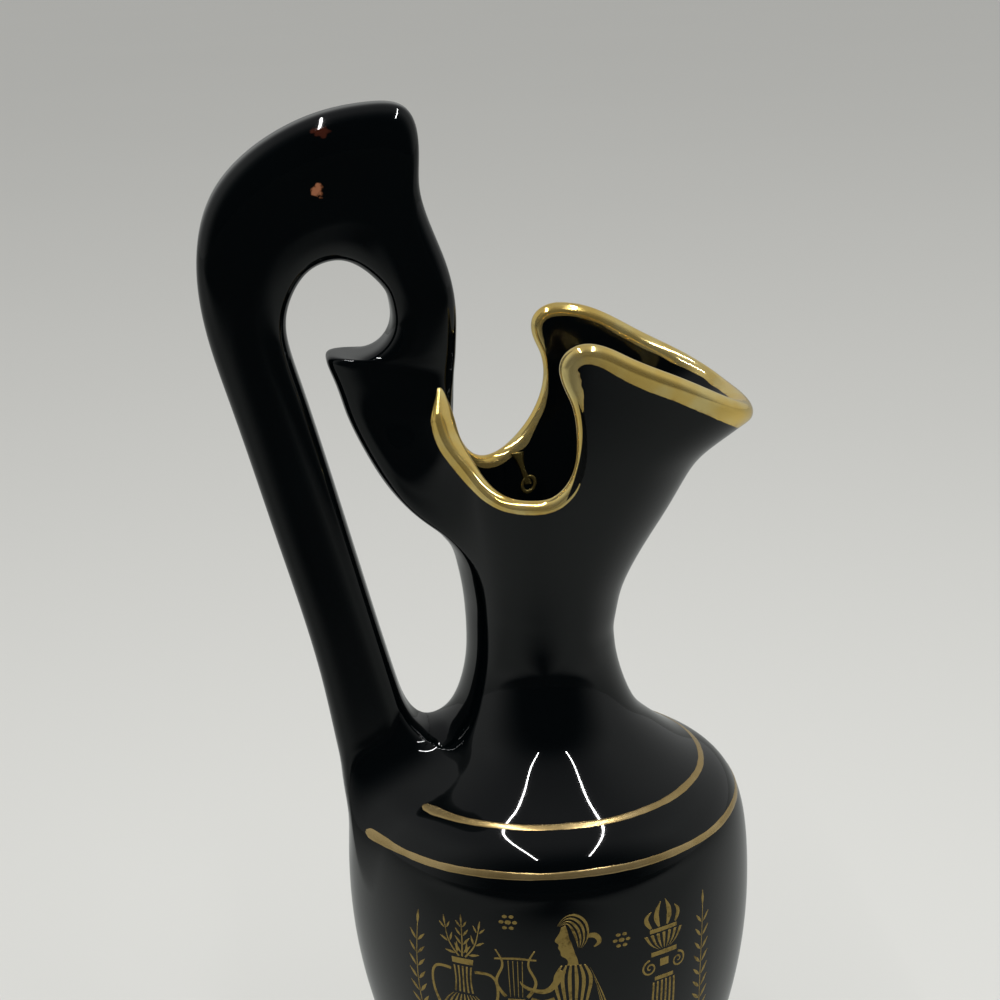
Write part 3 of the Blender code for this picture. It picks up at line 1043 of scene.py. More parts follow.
@dataclass
class Body:
    """The foot and the hollow belly, turned from one outline."""

    outline: TurnedOutline
    join: ClayJoin
    base_radius: float = 22.0
    base_edge: float = 3.6
    base_round: float = 1.2
    base_pull: float = 0.5
    base_chamfer: float = 0.6
    sweep_run: float = 5.3
    sweep_rise: float = 2.4
    stem_radius: float = 9.2
    stem_height: float = 15.5
    stem_upright: float = 6.0
    wall: float = 3.2
    floor: float = 6.0
    corner_run: float = 1.5
    corner_rise: float = 1.0
    pole_radius: float = 0.5
    turns: int = 360
    outside_rows: int = 180

    def foot_profile(self) -> Array:
        """The pedestal from its flat underside, round the disc's edge and up the stem to the seat.

        Returns:
            Radius and height, one point a row.
        """
        edge = (self.base_radius, self.base_edge - self.base_round)
        disc = (self.base_radius - self.base_round, self.base_edge)
        stem = (self.stem_radius, self.stem_height)
        seat = (self.outline.foot_seat_radius, self.outline.foot_height)
        low = (self.base_radius, self.base_chamfer)
        under = (self.base_radius - self.base_chamfer, 0.0)
        corner = (self.base_radius, 0.0)
        stretches = [
            np.linspace((self.pole_radius, 0.0), under, 30),
            bezier(under, between(under, corner, 0.6), between(low, corner, 0.6), low, 8),
            np.linspace(low, edge, 6),
            bezier(edge, (edge[0], disc[1] - self.base_pull), (edge[0] - self.base_pull, disc[1]), disc, 12),
            bezier(
                disc,
                (disc[0] - self.sweep_run, disc[1] + self.sweep_rise),
                (stem[0], stem[1] - self.stem_upright),
                stem,
                48,
            ),
            bezier(
                stem,
                (stem[0], stem[1] + self.stem_upright / 2),
                between(seat, (stem[0], stem[1] + self.stem_upright), 0.7),
                seat,
                40,
            ),
            np.linspace(seat, (self.pole_radius, seat[1]), 6),
        ]
        return end_to_end(stretches)

    def build(self, glaze: bpy.types.Material) -> None:
        """Lay the foot and the belly.

        Args:
            glaze: Their material.
        """
        foot = self.foot_profile()
        rings = lathe(foot, right_hand(foot), self.turns)[0]
        lay_piece("foot_turned", [pole_skin(rings)], glaze, ["foot"])
        stop = float(self.outline.length_at_height(self.outline.seat))
        outside, facing = self.outline.at(np.linspace(0.0, stop, self.outside_rows))
        inside = outside - self.wall * facing
        deck = self.outline.foot_height + self.floor
        inside = inside[inside[:, 1] > deck + self.corner_rise][::-2]
        bottom = np.linspace((inside[-1, 0] - self.corner_run, deck), (self.pole_radius, deck), 8)
        base = np.linspace((self.pole_radius, outside[0, 1]), outside[0], 6)[:-1]
        profile = np.vstack([base, outside, inside, bottom])
        normals = right_hand(profile)
        normals[len(base) : len(base) + len(outside)] = facing
        grid, shade = lathe(profile, normals, self.turns)
        skin = slice(len(base), len(base) + len(outside))
        grid[skin], shade[skin] = self.join.smoothed_grid(grid[skin], shade[skin], False)
        lay_piece("belly_turned", [pole_skin(grid, shade)], glaze, ["belly"])


# The neck and the cut-away mouth


@dataclass
class Mouth:
    """The neck and mouth: one flared wall, an oval in plan, trimmed by the hand-cut rim.

    Heights are above the neck's waist. At each height the oval has a front reach, a back reach,
    a half width and a middle where it is widest, and each of these is a spline over the height.
    The rim is a run of places: angle in degrees, height, radius of the lip, and how far the gold
    comes down outside and inside; the near side and the far side differ a little, as cut by hand.
    """

    outline: TurnedOutline
    front: Places = (
        (4.0, 12.86), (8.0, 13.78), (13.0, 15.98), (18.0, 18.89), (23.0, 21.97), (28.0, 24.78),
        (32.0, 28.05), (35.0, 32.5), (38.0, 37.0), (43.0, 41.9), (58.0, 49.0),
    )
    back: Places = (
        (4.0, 12.4), (9.0, 12.7), (16.0, 13.9), (22.0, 15.2), (28.0, 16.1), (37.0, 16.5), (58.0, 16.2),
    )
    half_width: Places = (
        (5.0, 12.5), (11.0, 13.1), (18.0, 14.4), (24.0, 15.8), (30.0, 17.2), (36.0, 18.3),
        (44.0, 19.3), (58.0, 20.2),
    )
    middle: Places = (
        (5.0, 0.1), (11.0, 0.5), (18.0, 1.4), (24.0, 2.6), (30.0, 4.0), (36.0, 5.4), (44.0, 7.2), (58.0, 9.8),
    )
    squareness: float = 0.55
    square_height: float = 32.0
    turn_span: float = 0.6
    neck_span: tuple[float, float, int] = (-17.0, 1.0, 13)
    tip: Sequence[float] = (0.0, 36.4, 1.85, 2.4, 1.5)
    near_rim: Sequence[Sequence[float]] = (
        (20.0, 37.3, 1.8, 2.5, 1.5), (38.0, 41.2, 1.7, 2.6, 1.5), (57.0, 45.6, 1.65, 2.6, 1.5),
        (80.0, 49.6, 1.6, 2.4, 1.5), (93.0, 51.7, 1.55, 2.0, 1.5), (101.0, 51.9, 1.5, 1.9, 1.5),
        (105.2, 50.5, 1.45, 2.0, 1.5), (104.2, 48.6, 1.4, 2.4, 1.5), (98.2, 45.0, 1.35, 1.2, 1.5),
        (91.3, 39.0, 1.3, 0.0, 1.5), (88.3, 33.8, 1.3, 0.3, 1.5), (90.4, 29.6, 1.3, 0.7, 1.5),
        (99.0, 27.0, 1.3, 0.8, 1.5), (112.0, 26.5, 1.3, 0.9, 1.5), (126.0, 26.9, 1.3, 0.9, 1.5),
        (140.0, 29.1, 1.3, 1.2, 1.5), (154.0, 33.6, 1.3, 1.4, 1.4), (163.0, 37.5, 1.2, 1.3, 1.2),
        (166.2, 41.3, 0.95, 1.0, 0.8), (167.8, 44.0, 0.55, 0.45, 0.3), (172.5, 46.8, 0.4, 0.2, 0.2),
    )
    far_rim: Sequence[Sequence[float]] = (
        (20.0, 37.36, 1.8, 2.3, 1.5), (38.0, 41.5, 1.7, 2.4, 1.5), (57.0, 45.9, 1.65, 2.4, 1.4),
        (78.0, 49.9, 1.6, 2.2, 1.3), (90.0, 50.9, 1.55, 1.8, 1.3), (97.0, 50.8, 1.5, 1.6, 1.3),
        (101.2, 49.6, 1.45, 1.5, 1.3), (100.9, 48.1, 1.4, 1.4, 1.3), (95.8, 45.0, 1.4, 1.0, 1.4),
        (91.0, 40.5, 1.4, 0.7, 1.9), (91.0, 36.5, 1.4, 0.7, 2.3), (95.8, 32.2, 1.35, 0.7, 2.7),
        (106.0, 28.6, 1.35, 0.8, 2.3), (118.0, 26.9, 1.3, 0.9, 1.6), (130.0, 26.9, 1.3, 0.9, 1.5),
        (142.0, 28.6, 1.3, 1.0, 1.5), (154.0, 32.8, 1.3, 1.3, 1.4), (162.5, 38.0, 1.2, 1.4, 1.2),
        (165.5, 42.0, 1.0, 1.2, 0.9), (167.4, 45.0, 0.6, 0.5, 0.4), (172.0, 47.6, 0.4, 0.2, 0.2),
    )
    back_top: Sequence[float] = (180.0, 49.5, 0.4, 0.2, 0.2)
    base_wall: float = 3.4
    lip_wall: float = 3.06
    columns: int = 640
    wall_rows: int = 91
    lip_rows: int = 18
    joins: Sequence[ClayJoin] = ()

    def __post_init__(self) -> None:
        """Fit the splines, from the turned neck below the waist up to the mouth."""
        low = np.linspace(*self.neck_span)
        neck = Spline(self.outline.line[::8, 1], self.outline.line[::8, 0])
        taper = np.where(low < 0, neck(self.outline.waist + np.minimum(low, 0.0)), self.outline.neck_radius)
        self._front, self._back, self._half = (
            Spline([*low, *(h for h, _ in rows)], [*taper, *(v for _, v in rows)])
            for rows in (self.front, self.back, self.half_width)
        )
        heights, places = zip(*self.middle)
        self._middle = Spline([*low, *heights], [*(0 * low), *places])
        flip = np.array([-1.0, 1.0, 1.0, 1.0, 1.0])
        near = np.array([self.tip, *self.near_rim, self.back_top]) * flip
        far = np.array([*self.far_rim, self.back_top])
        knots = np.vstack([near[::-1], far])
        knots[:, 0] = np.radians(knots[:, 0])
        length = run_length(self.wall(knots[:, 0], knots[:, 1]))
        self.rim = Spline(length / length[-1], knots)

    def wall(self, angle: Array, height: Array) -> Array:
        """The outside of the wall.

        In plan it is a superellipse about the middle, R = (|cos/a|^n + |sin/w|^n)^(-1/n), whose
        reach a and power n pass smoothly from the back's to the spout's.

        Args:
            angle: Angle about the oval's middle, from the spout, in radians.
            height: Height above the waist.

        Returns:
            Points on the wall.
        """
        middle, width = self._middle(height), self._half(height)
        cos, sin = np.cos(angle), np.sin(angle)
        ahead = ease(-self.turn_span, self.turn_span, cos)
        rear = self._back(height) + middle
        reach = rear + (self._front(height) - middle - rear) * ahead
        power = 2 + self.squareness * ease(0.0, self.square_height, height) * ahead
        radius = (np.abs(cos / reach) ** power + np.abs(sin / width) ** power) ** (-1 / power)
        return np.stack([middle + radius * cos, radius * sin, self.outline.waist + height], axis=-1)

    def slopes(self, angle: Array, height: Array) -> tuple[Array, Array, Array]:
        """The wall's two directions and its outward normal, by central differences.

        Args:
            angle: Angle about the oval's middle, in radians.
            height: Height above the waist.

        Returns:
            Change of place with angle, change with height, and the unit normal.
        """
        d = 1e-3
        turn = (self.wall(angle + d, height) - self.wall(angle - d, height)) / (2 * d)
        rise = (self.wall(angle, height + d) - self.wall(angle, height - d)) / (2 * d)
        return turn, rise, unit(np.cross(turn, rise))

    def gap(self, points: Array) -> tuple[Array, Array]:
        """Signed distance of points from the outside of the wall, taken along its normal.

        Args:
            points: Points in space, one a row.

        Returns:
            Distances, negative inside, and the wall's normals there.
        """
        height = points[:, 2] - self.outline.waist
        angle = np.arctan2(points[:, 1], points[:, 0] - self._middle(height))
        normal = self.slopes(angle, height)[2]
        return ((points - self.wall(angle, height)) * normal).sum(1), normal

    def outside(self, angle: Array, height: Array, deep: float = DRAWN_DEPTH) -> tuple[Array, Array]:
        """The wall's outside with both ends of the handle smoothed into it.

        Args:
            angle: Angles about the oval's middle.
            height: Heights above the waist.
            deep: How far inside the strap a point is still drawn out, in joint sizes.

        Returns:
            Points and outward normals.
        """
        points, normals = self.wall(angle, height), self.slopes(angle, height)[2]
        for join in self.joins:
            points, normals = join.smoothed_grid(points, normals, False, deep)
        return points, normals

    def inside(self, angle: Array, height: Array) -> tuple[Array, Array]:
        """Points and inward normals on the inside of the wall near its lip."""
        face = self.slopes(angle, height)[2]
        return self.wall(angle, height) - self.lip_wall * face, -face

    def lip(self, along: Array, across: Array, deep: float = DRAWN_DEPTH) -> tuple[Array, Array]:
        """Points over the rolled lip.

        Across is a length: below 0 it runs down the outside of the wall, then round the half oval
        of the lip, and past pi times the lip's radius it runs down the inside.

        Args:
            along: Shares of the rim's length, any shape.
            across: Lengths across the lip, the same shape.
            deep: How far inside the strap a point is still drawn out, in joint sizes.

        Returns:
            Points and outward normals.
        """
        angle, height, radius = np.moveaxis(self.rim(along), -1, 0)[:3]
        turn, rise, normal = self.slopes(angle, height)
        step = 1e-4
        ahead, behind = self.rim(along + step), self.rim(along - step)
        path = self.wall(ahead[..., 0], ahead[..., 1]) - self.wall(behind[..., 0], behind[..., 1])
        up = unit(np.cross(normal, unit(path)))
        # The step up the wall as a change of angle and of height, by the normal equations of its two slopes
        tt, tr, rr = dot(turn, turn), dot(turn, rise), dot(rise, rise)
        ut, ur = dot(up, turn), dot(up, rise)
        spread = tt * rr - tr * tr
        per_turn, per_rise = ((ut * rr - ur * tr) / spread)[..., 0], ((ur * tt - ut * tr) / spread)[..., 0]
        down = np.maximum(-across, 0.0) + np.maximum(across - math.pi * radius, 0.0)
        swing = np.clip(across / radius, 0.0, math.pi)[..., None]
        low_angle, low_height = angle - per_turn * down, height - per_rise * down
        plain, face = self.wall(low_angle, low_height), self.slopes(low_angle, low_height)[2]
        fair, fair_face = self.outside(low_angle, low_height, deep)
        fair = fair + (plain - fair) * ease(0.2 * math.pi, 0.7 * math.pi, swing)
        swell = dot(fair - plain, face)
        drift = fair - plain - swell * face
        half = (2 * radius[..., None] + swell) / 2
        inner = plain - 2 * radius[..., None] * face
        points = inner + half * face * (1 + np.cos(swing)) + radius[..., None] * up * np.sin(swing) + drift
        curved = unit(face * np.cos(swing) / half + up * np.sin(swing) / radius[..., None])
        return points, np.where(across[..., None] < 0, fair_face, curved)

    def build(self, glaze: bpy.types.Material) -> None:
        """Lay the neck and mouth as one closed wall: up the outside, over the lip, down the inside.

        Args:
            glaze: Its material.
        """
        along = np.arange(self.columns) / self.columns
        angle, height, radius = self.rim(along).T[:3]
        foot_angle = 2 * math.pi * (along - 0.5)
        foot_height = self.outline.seat - self.outline.waist
        climb = np.linspace(0.0, 1.0, self.wall_rows)[:, None]
        angles = foot_angle + (angle - foot_angle) * climb**4
        heights = foot_height + (height - foot_height) * climb
        plain, facing = self.wall(angles, heights), self.slopes(angles, heights)[2]
        outside, normals = self.outside(angles, heights)
        swing = np.linspace(0.0, math.pi, self.lip_rows)[1:-1, None] * radius
        lip, lip_normals = self.lip(np.broadcast_to(along, swing.shape), swing)
        thick = self.base_wall + (2 * radius - self.base_wall) * climb
        inside = (plain - thick[..., None] * facing)[::-2]
        grid = np.concatenate([outside, lip, inside], axis=0)
        shade = np.concatenate([normals, lip_normals, -facing[::-2]], axis=0)
        lay_piece("neck_and_spout", [ring_skin(grid, shade)], glaze, ["neck_spout"])


# The handle


@dataclass
class Handle:
    """The strap handle: rounded flat sections between an outer and an inner edge.

    Each rib gives the outer edge's x and height, the inner edge's x and height, and half the
    strap's thickness, from its foot on the shoulder over the crest and the eye to its root.
    """

    foot_join: ClayJoin
    root_join: ClayJoin
    ribs: Sequence[tuple[float, float, float, float, float]] = (
        (-33.0, 91.4, -19.9, 107.4, 5.8),
        (-34.1, 96.4, -20.1, 108.2, 5.9),
        (-34.6, 106.0, -20.7, 109.8, 5.8),
        (-35.4, 114.6, -22.7, 117.2, 5.6),
        (-37.0, 125.4, -25.3, 127.4, 5.3),
        (-42.6, 150.2, -31.0, 151.4, 5.1),
        (-48.9, 175.5, -37.1, 176.6, 5.1),
        (-52.0, 195.6, -38.6, 187.6, 5.2),
        (-47.7, 208.5, -36.1, 193.0, 5.3),
        (-35.6, 217.2, -32.5, 195.5, 5.3),
        (-24.0, 219.7, -28.8, 195.6, 5.2),
        (-18.0, 218.5, -26.8, 194.6, 5.2),
        (-16.5, 212.6, -25.1, 193.2, 5.2),
        (-16.7, 206.4, -23.5, 191.4, 5.2),
        (-13.3, 195.0, -22.3, 188.2, 5.2),
        (-11.9, 186.6, -22.7, 183.9, 5.2),
        (-12.1, 181.9, -25.4, 181.2, 5.2),
        (-12.3, 179.4, -29.6, 180.6, 5.2),
        (-12.5, 177.8, -32.7, 180.5, 5.2),
        (-12.7, 176.2, -32.2, 177.6, 5.25),
        (-13.1, 170.6, -30.3, 171.2, 5.6),
        (-13.9, 164.8, -27.6, 164.6, 6.4),
        (-14.6, 159.2, -23.8, 158.0, 7.0),
        (-14.0, 154.6, -19.0, 152.8, 7.0),
        (-12.8, 150.6, -13.2, 148.4, 5.4),
    )
    flatness: float = 4.0
    breadth: float = 1.4
    skin_depth: float = 1.0
    end_room: float = 1.6
    rows: int = 520
    cap_rows: int = 5
    cap_span: tuple[float, float] = (0.05, 0.85)
    sides: int = 120
    fine_steps: int = 4001

    def sections(self) -> Array:
        """Rings of points: a superellipse on each rib, |across|^n + |sideways|^n = 1.

        Returns:
            A grid of points, one ring a row.
        """
        ribs = np.array(self.ribs)
        pace = np.hypot(*np.diff(ribs[:, :2], axis=0).T) + np.hypot(*np.diff(ribs[:, 2:4], axis=0).T)
        read = Spline(np.concatenate([[0.0], np.cumsum(pace)]) / pace.sum(), ribs)
        rib = read(np.linspace(0.0, 1.0, self.rows))
        fine = np.linspace(0.0, 2 * math.pi, self.fine_steps)
        power = 2 / self.flatness
        oval = [np.sign(f) * np.abs(f) ** power for f in (np.cos(fine), np.sin(fine))]
        length = run_length(np.stack([self.breadth * oval[0], oval[1]], axis=1))
        even = np.interp(np.arange(self.sides) / self.sides * length[-1], length, fine)
        across, sideways = (np.sign(f) * np.abs(f) ** power for f in (np.cos(even), np.sin(even)))
        outer, inner, half = rib[:, None, 0:2], rib[:, None, 2:4], rib[:, None, 4]
        flat = (outer + inner) / 2 + across[None, :, None] * (inner - outer) / 2
        return np.stack([flat[..., 0], half * sideways, flat[..., 1]], axis=-1)

    def tucked(self, grid: Array) -> Array:
        """The foot end drawn up under the belly's skin, so that it ends within the wall.

        A depth d past the skin's own becomes r (1 - exp(-d / r)), with r the room left in the wall.

        Args:
            grid: Points of the strap.

        Returns:
            The moved points.
        """
        points = grid.reshape(-1, 3)
        gap, face = self.foot_join.wall_gap(points)
        depth = np.maximum(-gap - self.skin_depth, 0.0)
        rise = depth - self.end_room * (1 - np.exp(-depth / self.end_room))
        return (points + rise[:, None] * face).reshape(grid.shape)

    def build(self, glaze: bpy.types.Material) -> None:
        """Lay the strap with both ends smoothed into the walls they join.

        Args:
            glaze: Its material.
        """
        grid = self.sections()
        along = np.gradient(grid, axis=0)
        around = np.roll(grid, -1, axis=1) - np.roll(grid, 1, axis=1)
        normals = unit(np.cross(around, along))
        middle = grid.mean(axis=1, keepdims=True)
        if dot(normals, grid - middle).mean() < 0:
            normals = -normals
        half = self.rows // 2
        low = self.foot_join.smoothed_grid(grid[:half], normals[:half], True)
        high = self.root_join.smoothed_grid(grid[half:], normals[half:], True)
        middle = low[0][0].mean(axis=0)
        share = np.linspace(*self.cap_span, self.cap_rows)[:, None, None]
        cap = middle + share * (low[0][0] - middle)
        foot = self.tucked(np.concatenate([cap, low[0]]))
        grid = np.concatenate([foot, high[0]])
        normals = np.concatenate([np.broadcast_to(low[1][0], cap.shape), low[1], high[1]])
        lay_piece("handle_strap", [pole_skin(grid, normals)], glaze, ["handle"])


FOOT_END = StrapEnd(
    (
        (82.0, -22.0, -11.0, 6.2), (90.0, -28.4, -14.8, 6.2), (96.0, -32.0, -17.2, 6.1),
        (101.0, -33.7, -18.8, 6.0), (106.0, -34.5, -20.0, 5.9), (114.0, -35.3, -22.0, 5.6),
        (125.0, -36.9, -24.8, 5.3), (140.0, -40.2, -28.4, 5.2),
    ),
    4.0,
)
ROOT_END = StrapEnd(
    (
        (136.0, 4.0, -2.0, 2.0), (143.0, 0.0, -8.6, 4.0), (148.0, -3.0, -13.4, 5.6),
        (152.0, -5.0, -18.0, 6.6), (156.0, -6.0, -22.2, 7.0), (160.0, -6.0, -25.2, 6.9),
        (165.0, -6.0, -27.7, 6.4), (171.0, -6.0, -30.2, 5.6), (184.0, -6.0, -33.6, 5.2),
    ),
    6.0,
)


# Films of gold


def ribbon(
    host: Callable[[Array, Array], tuple[Array, Array]],
    left: Array,
    right: Array,
    lift: float,
    sink: float,
    ring: bool = False,
) -> Skin:
    """A film between two edges drawn on a host surface, straight from edge to edge.

    Args:
        host: Gives points and normals for two surface coordinates.
        left: Surface coordinates of one edge, one place a row.
        right: The same for the other edge.
        lift: Height of the film's dome.
        sink: Depth of its back.
        ring: Whether the last place joins the first.

    Returns:
        The closed film.
    """
    share = np.linspace(0.0, 1.0, 5)[None, :, None]
    flat = left[:, None] * (1 - share) + right[:, None] * share
    points, normals = host(flat[..., 0], flat[..., 1])
    return film_skin(points, normals, lift, sink, ring)


@dataclass
class Gilding:
    """The gold on the lip and the brush-drawn lines, as films on the glaze."""

    outline: TurnedOutline
    mouth: Mouth
    body: Body
    line_width: float = 1.4
    unsteady: float = 0.12
    lift: float = 0.05
    sink: float = 0.12
    lip_rows: int = 1100
    lip_cols: int = 25
    lip_depth: float = 1.6
    fray: float = 0.02
    notch_fray: float = 0.13
    notch_height: tuple[float, float] = (47.0, 3.0)
    notch_angle: tuple[float, float] = (1.55, 1.7)
    inner_fray: float = 0.2
    upper_radius: float = 26.8
    lower_radius: float = 32.72
    bowl_radius: float = 25.0
    foot_height: float = 1.8
    drip_path: Places = ((107.5, 27.6), (105.0, 26.4), (101.6, 24.6), (98.6, 23.2), (96.2, 22.0))
    drip_widths: Sequence[float] = (5.0, 2.6, 1.8, 2.2, 3.0)
    drip_rows: int = 40
    drip_lift: float = 0.02
    ring_turn: float = 6.0
    ring_rise: float = 1.55
    ring_hole: float = 0.58
    ring_rows: int = 60
    upper_open: tuple[float, float] = (147.0, 148.0)
    lower_open: tuple[float, float] = (161.5, 159.5)

    def lip_film(self) -> Skin:
        """The gold over the lip: its width wanders as a brush does.

        Returns:
            The film, a closed ring.
        """
        along = (np.arange(self.lip_rows) / self.lip_rows)[:, None]
        angle, height, radius, outside, inside = np.moveaxis(self.mouth.rim(along), -1, 0)
        notch = hump(*self.notch_height, height) * ease(*self.notch_angle, np.abs(angle))
        torn = self.fray + self.notch_fray * notch
        start = -outside * (1 + torn * wander(along, 3, (31, 67, 113, 149)))
        end = math.pi * radius + inside * (1 + self.inner_fray * wander(along, 4, (4, 9, 19, 37)))
        across = start + (end - start) * np.linspace(0.0, 1.0, self.lip_cols)[None, :]
        points, normals = self.mouth.lip(along + 0 * across, across, self.lip_depth)
        return film_skin(points, normals, self.lift, self.sink, ring=True)

    def brushed(self, length: float, start: float, end: float, seed: int) -> Skin:
        """A line drawn round the body by a loaded brush: thick where it starts, thin where it lifts.

        Args:
            length: Where on the outline it runs.
            start: Azimuth where the brush is set down, in degrees.
            end: Azimuth where it is lifted.
            seed: Which hand.

        Returns:
            The film.
        """
        rows, cols = 900, 9
        along = np.linspace(0.0, 1.0, rows)[:, None]
        azimuth = np.radians(start + (end - start) * along)
        width = self.line_width * (1 + self.unsteady * wander(along, seed, (7, 13, 29, 53)))
        width = width * (1 + 0.5 * hump(0.02, 0.02, along)) * (0.3 + 0.7 * ease(-0.002, 0.006, along))
        width = width * (0.35 + 0.65 * ease(0.0, 0.016, 1 - along))
        centre = length + self.unsteady * wander(along, seed + 9, (2, 5, 11))
        across = centre + width * np.linspace(-0.5, 0.5, cols)[None, :]
        points, normals = self.outline.around(across, azimuth + 0 * across)
        points, normals = self.body.join.smoothed_grid(points, normals, False)
        return film_skin(points, normals, self.lift, self.sink)

    def drip(self) -> list[Skin]:
        """A run of thin gold down the inside of the far notch, which dried to a ring at its end.

        Returns:
            The run and the ring.
        """
        along = np.linspace(0.0, 1.0, self.drip_rows)
        fall = curve_through(self.drip_path)(along)
        width = np.interp(along, np.linspace(0.0, 1.0, len(self.drip_widths)), self.drip_widths)[:, None]
        side = width * np.array([1.0, 0.0])
        turn = 2 * math.pi * np.arange(self.ring_rows) / self.ring_rows
        round_off = np.stack([np.cos(turn) * self.ring_turn, np.sin(turn) * self.ring_rise], axis=1)
        outer, inner = (np.array(self.drip_path[-1]) + share * round_off for share in (1.0, self.ring_hole))
        edges = [(fall - side, fall + side), (outer, inner)]
        turned = [np.array([math.pi / 180, 1.0]) * np.stack(pair) for pair in edges]
        rings = (False, True)
        return [ribbon(self.mouth.inside, *p, self.drip_lift, self.sink, r) for p, r in zip(turned, rings)]

    def banded(self, points: Callable, seed: int) -> Skin:
        """A line closed round the body.

        Args:
            points: Gives points and normals for a place across, -0.5 to 0.5, and an azimuth.
            seed: Which hand.

        Returns:
            The film, a closed ring.
        """
        rows, cols = 720, 7
        along = (np.arange(rows) / rows)[:, None]
        width = 1 + self.unsteady * wander(along, seed, (5, 11, 23, 47))
        across = width * np.linspace(-0.5, 0.5, cols)[None, :] + 0.08 * wander(along, seed + 5, (2, 7))
        spots, normals = points(across, 2 * math.pi * along + 0 * across)
        return film_skin(spots, normals, self.lift, self.sink, ring=True)

    def on_bowl(self, across: Array, azimuth: Array) -> tuple[Array, Array]:
        """Places on the low bowl line.

        Args:
            across: Place across the line, -0.5 to 0.5.
            azimuth: Angle about the axis.

        Returns:
            Points and outward normals.
        """
        kept = self.outline.line[:, 1] < self.outline.widest
        middle = np.interp(self.bowl_radius, self.outline.line[kept, 0], self.outline.length[kept])
        return self.outline.around(middle + self.line_width * across, azimuth)

    def on_foot(self, across: Array, azimuth: Array) -> tuple[Array, Array]:
        """Places on the upright edge of the foot.

        Args:
            across: Place across the line, -0.5 to 0.5.
            azimuth: Angle about the axis.

        Returns:
            Points and outward normals.
        """
        out = np.stack([np.cos(azimuth), np.sin(azimuth), 0 * azimuth], axis=-1)
        height = (self.foot_height + self.line_width * across)[..., None] * np.array([0.0, 0.0, 1.0])
        return self.body.base_radius * out + height, out

    def build(self, gold: bpy.types.Material, satin: bpy.types.Material, thin: bpy.types.Material) -> None:
        """Lay the gold.

        Args:
            gold: The lip's material.
            satin: The lines' material.
            thin: The material of the run inside the mouth.
        """
        lay_piece("lip_gold", [self.lip_film()], gold, ["rim_gilding"])
        lay_piece("lip_gold_run", self.drip(), thin)
        upper = self.outline.length_at_radius(self.upper_radius, self.outline.widest)
        lower = self.outline.length_at_radius(self.lower_radius, self.outline.widest)
        first = self.brushed(upper, -self.upper_open[0], self.upper_open[1], 21)
        second = self.brushed(lower, -self.lower_open[0], self.lower_open[1], 22)
        lay_piece("shoulder_gold_upper", [first], satin, ["shoulder_line_upper"])
        lay_piece("shoulder_gold_lower", [second], satin, ["shoulder_line_lower"])
        lay_piece("bowl_gold", [self.banded(self.on_bowl, 23)], satin, ["bowl_line"])
        lay_piece("foot_gold", [self.banded(self.on_foot, 24)], satin, ["foot_line"])


# The print


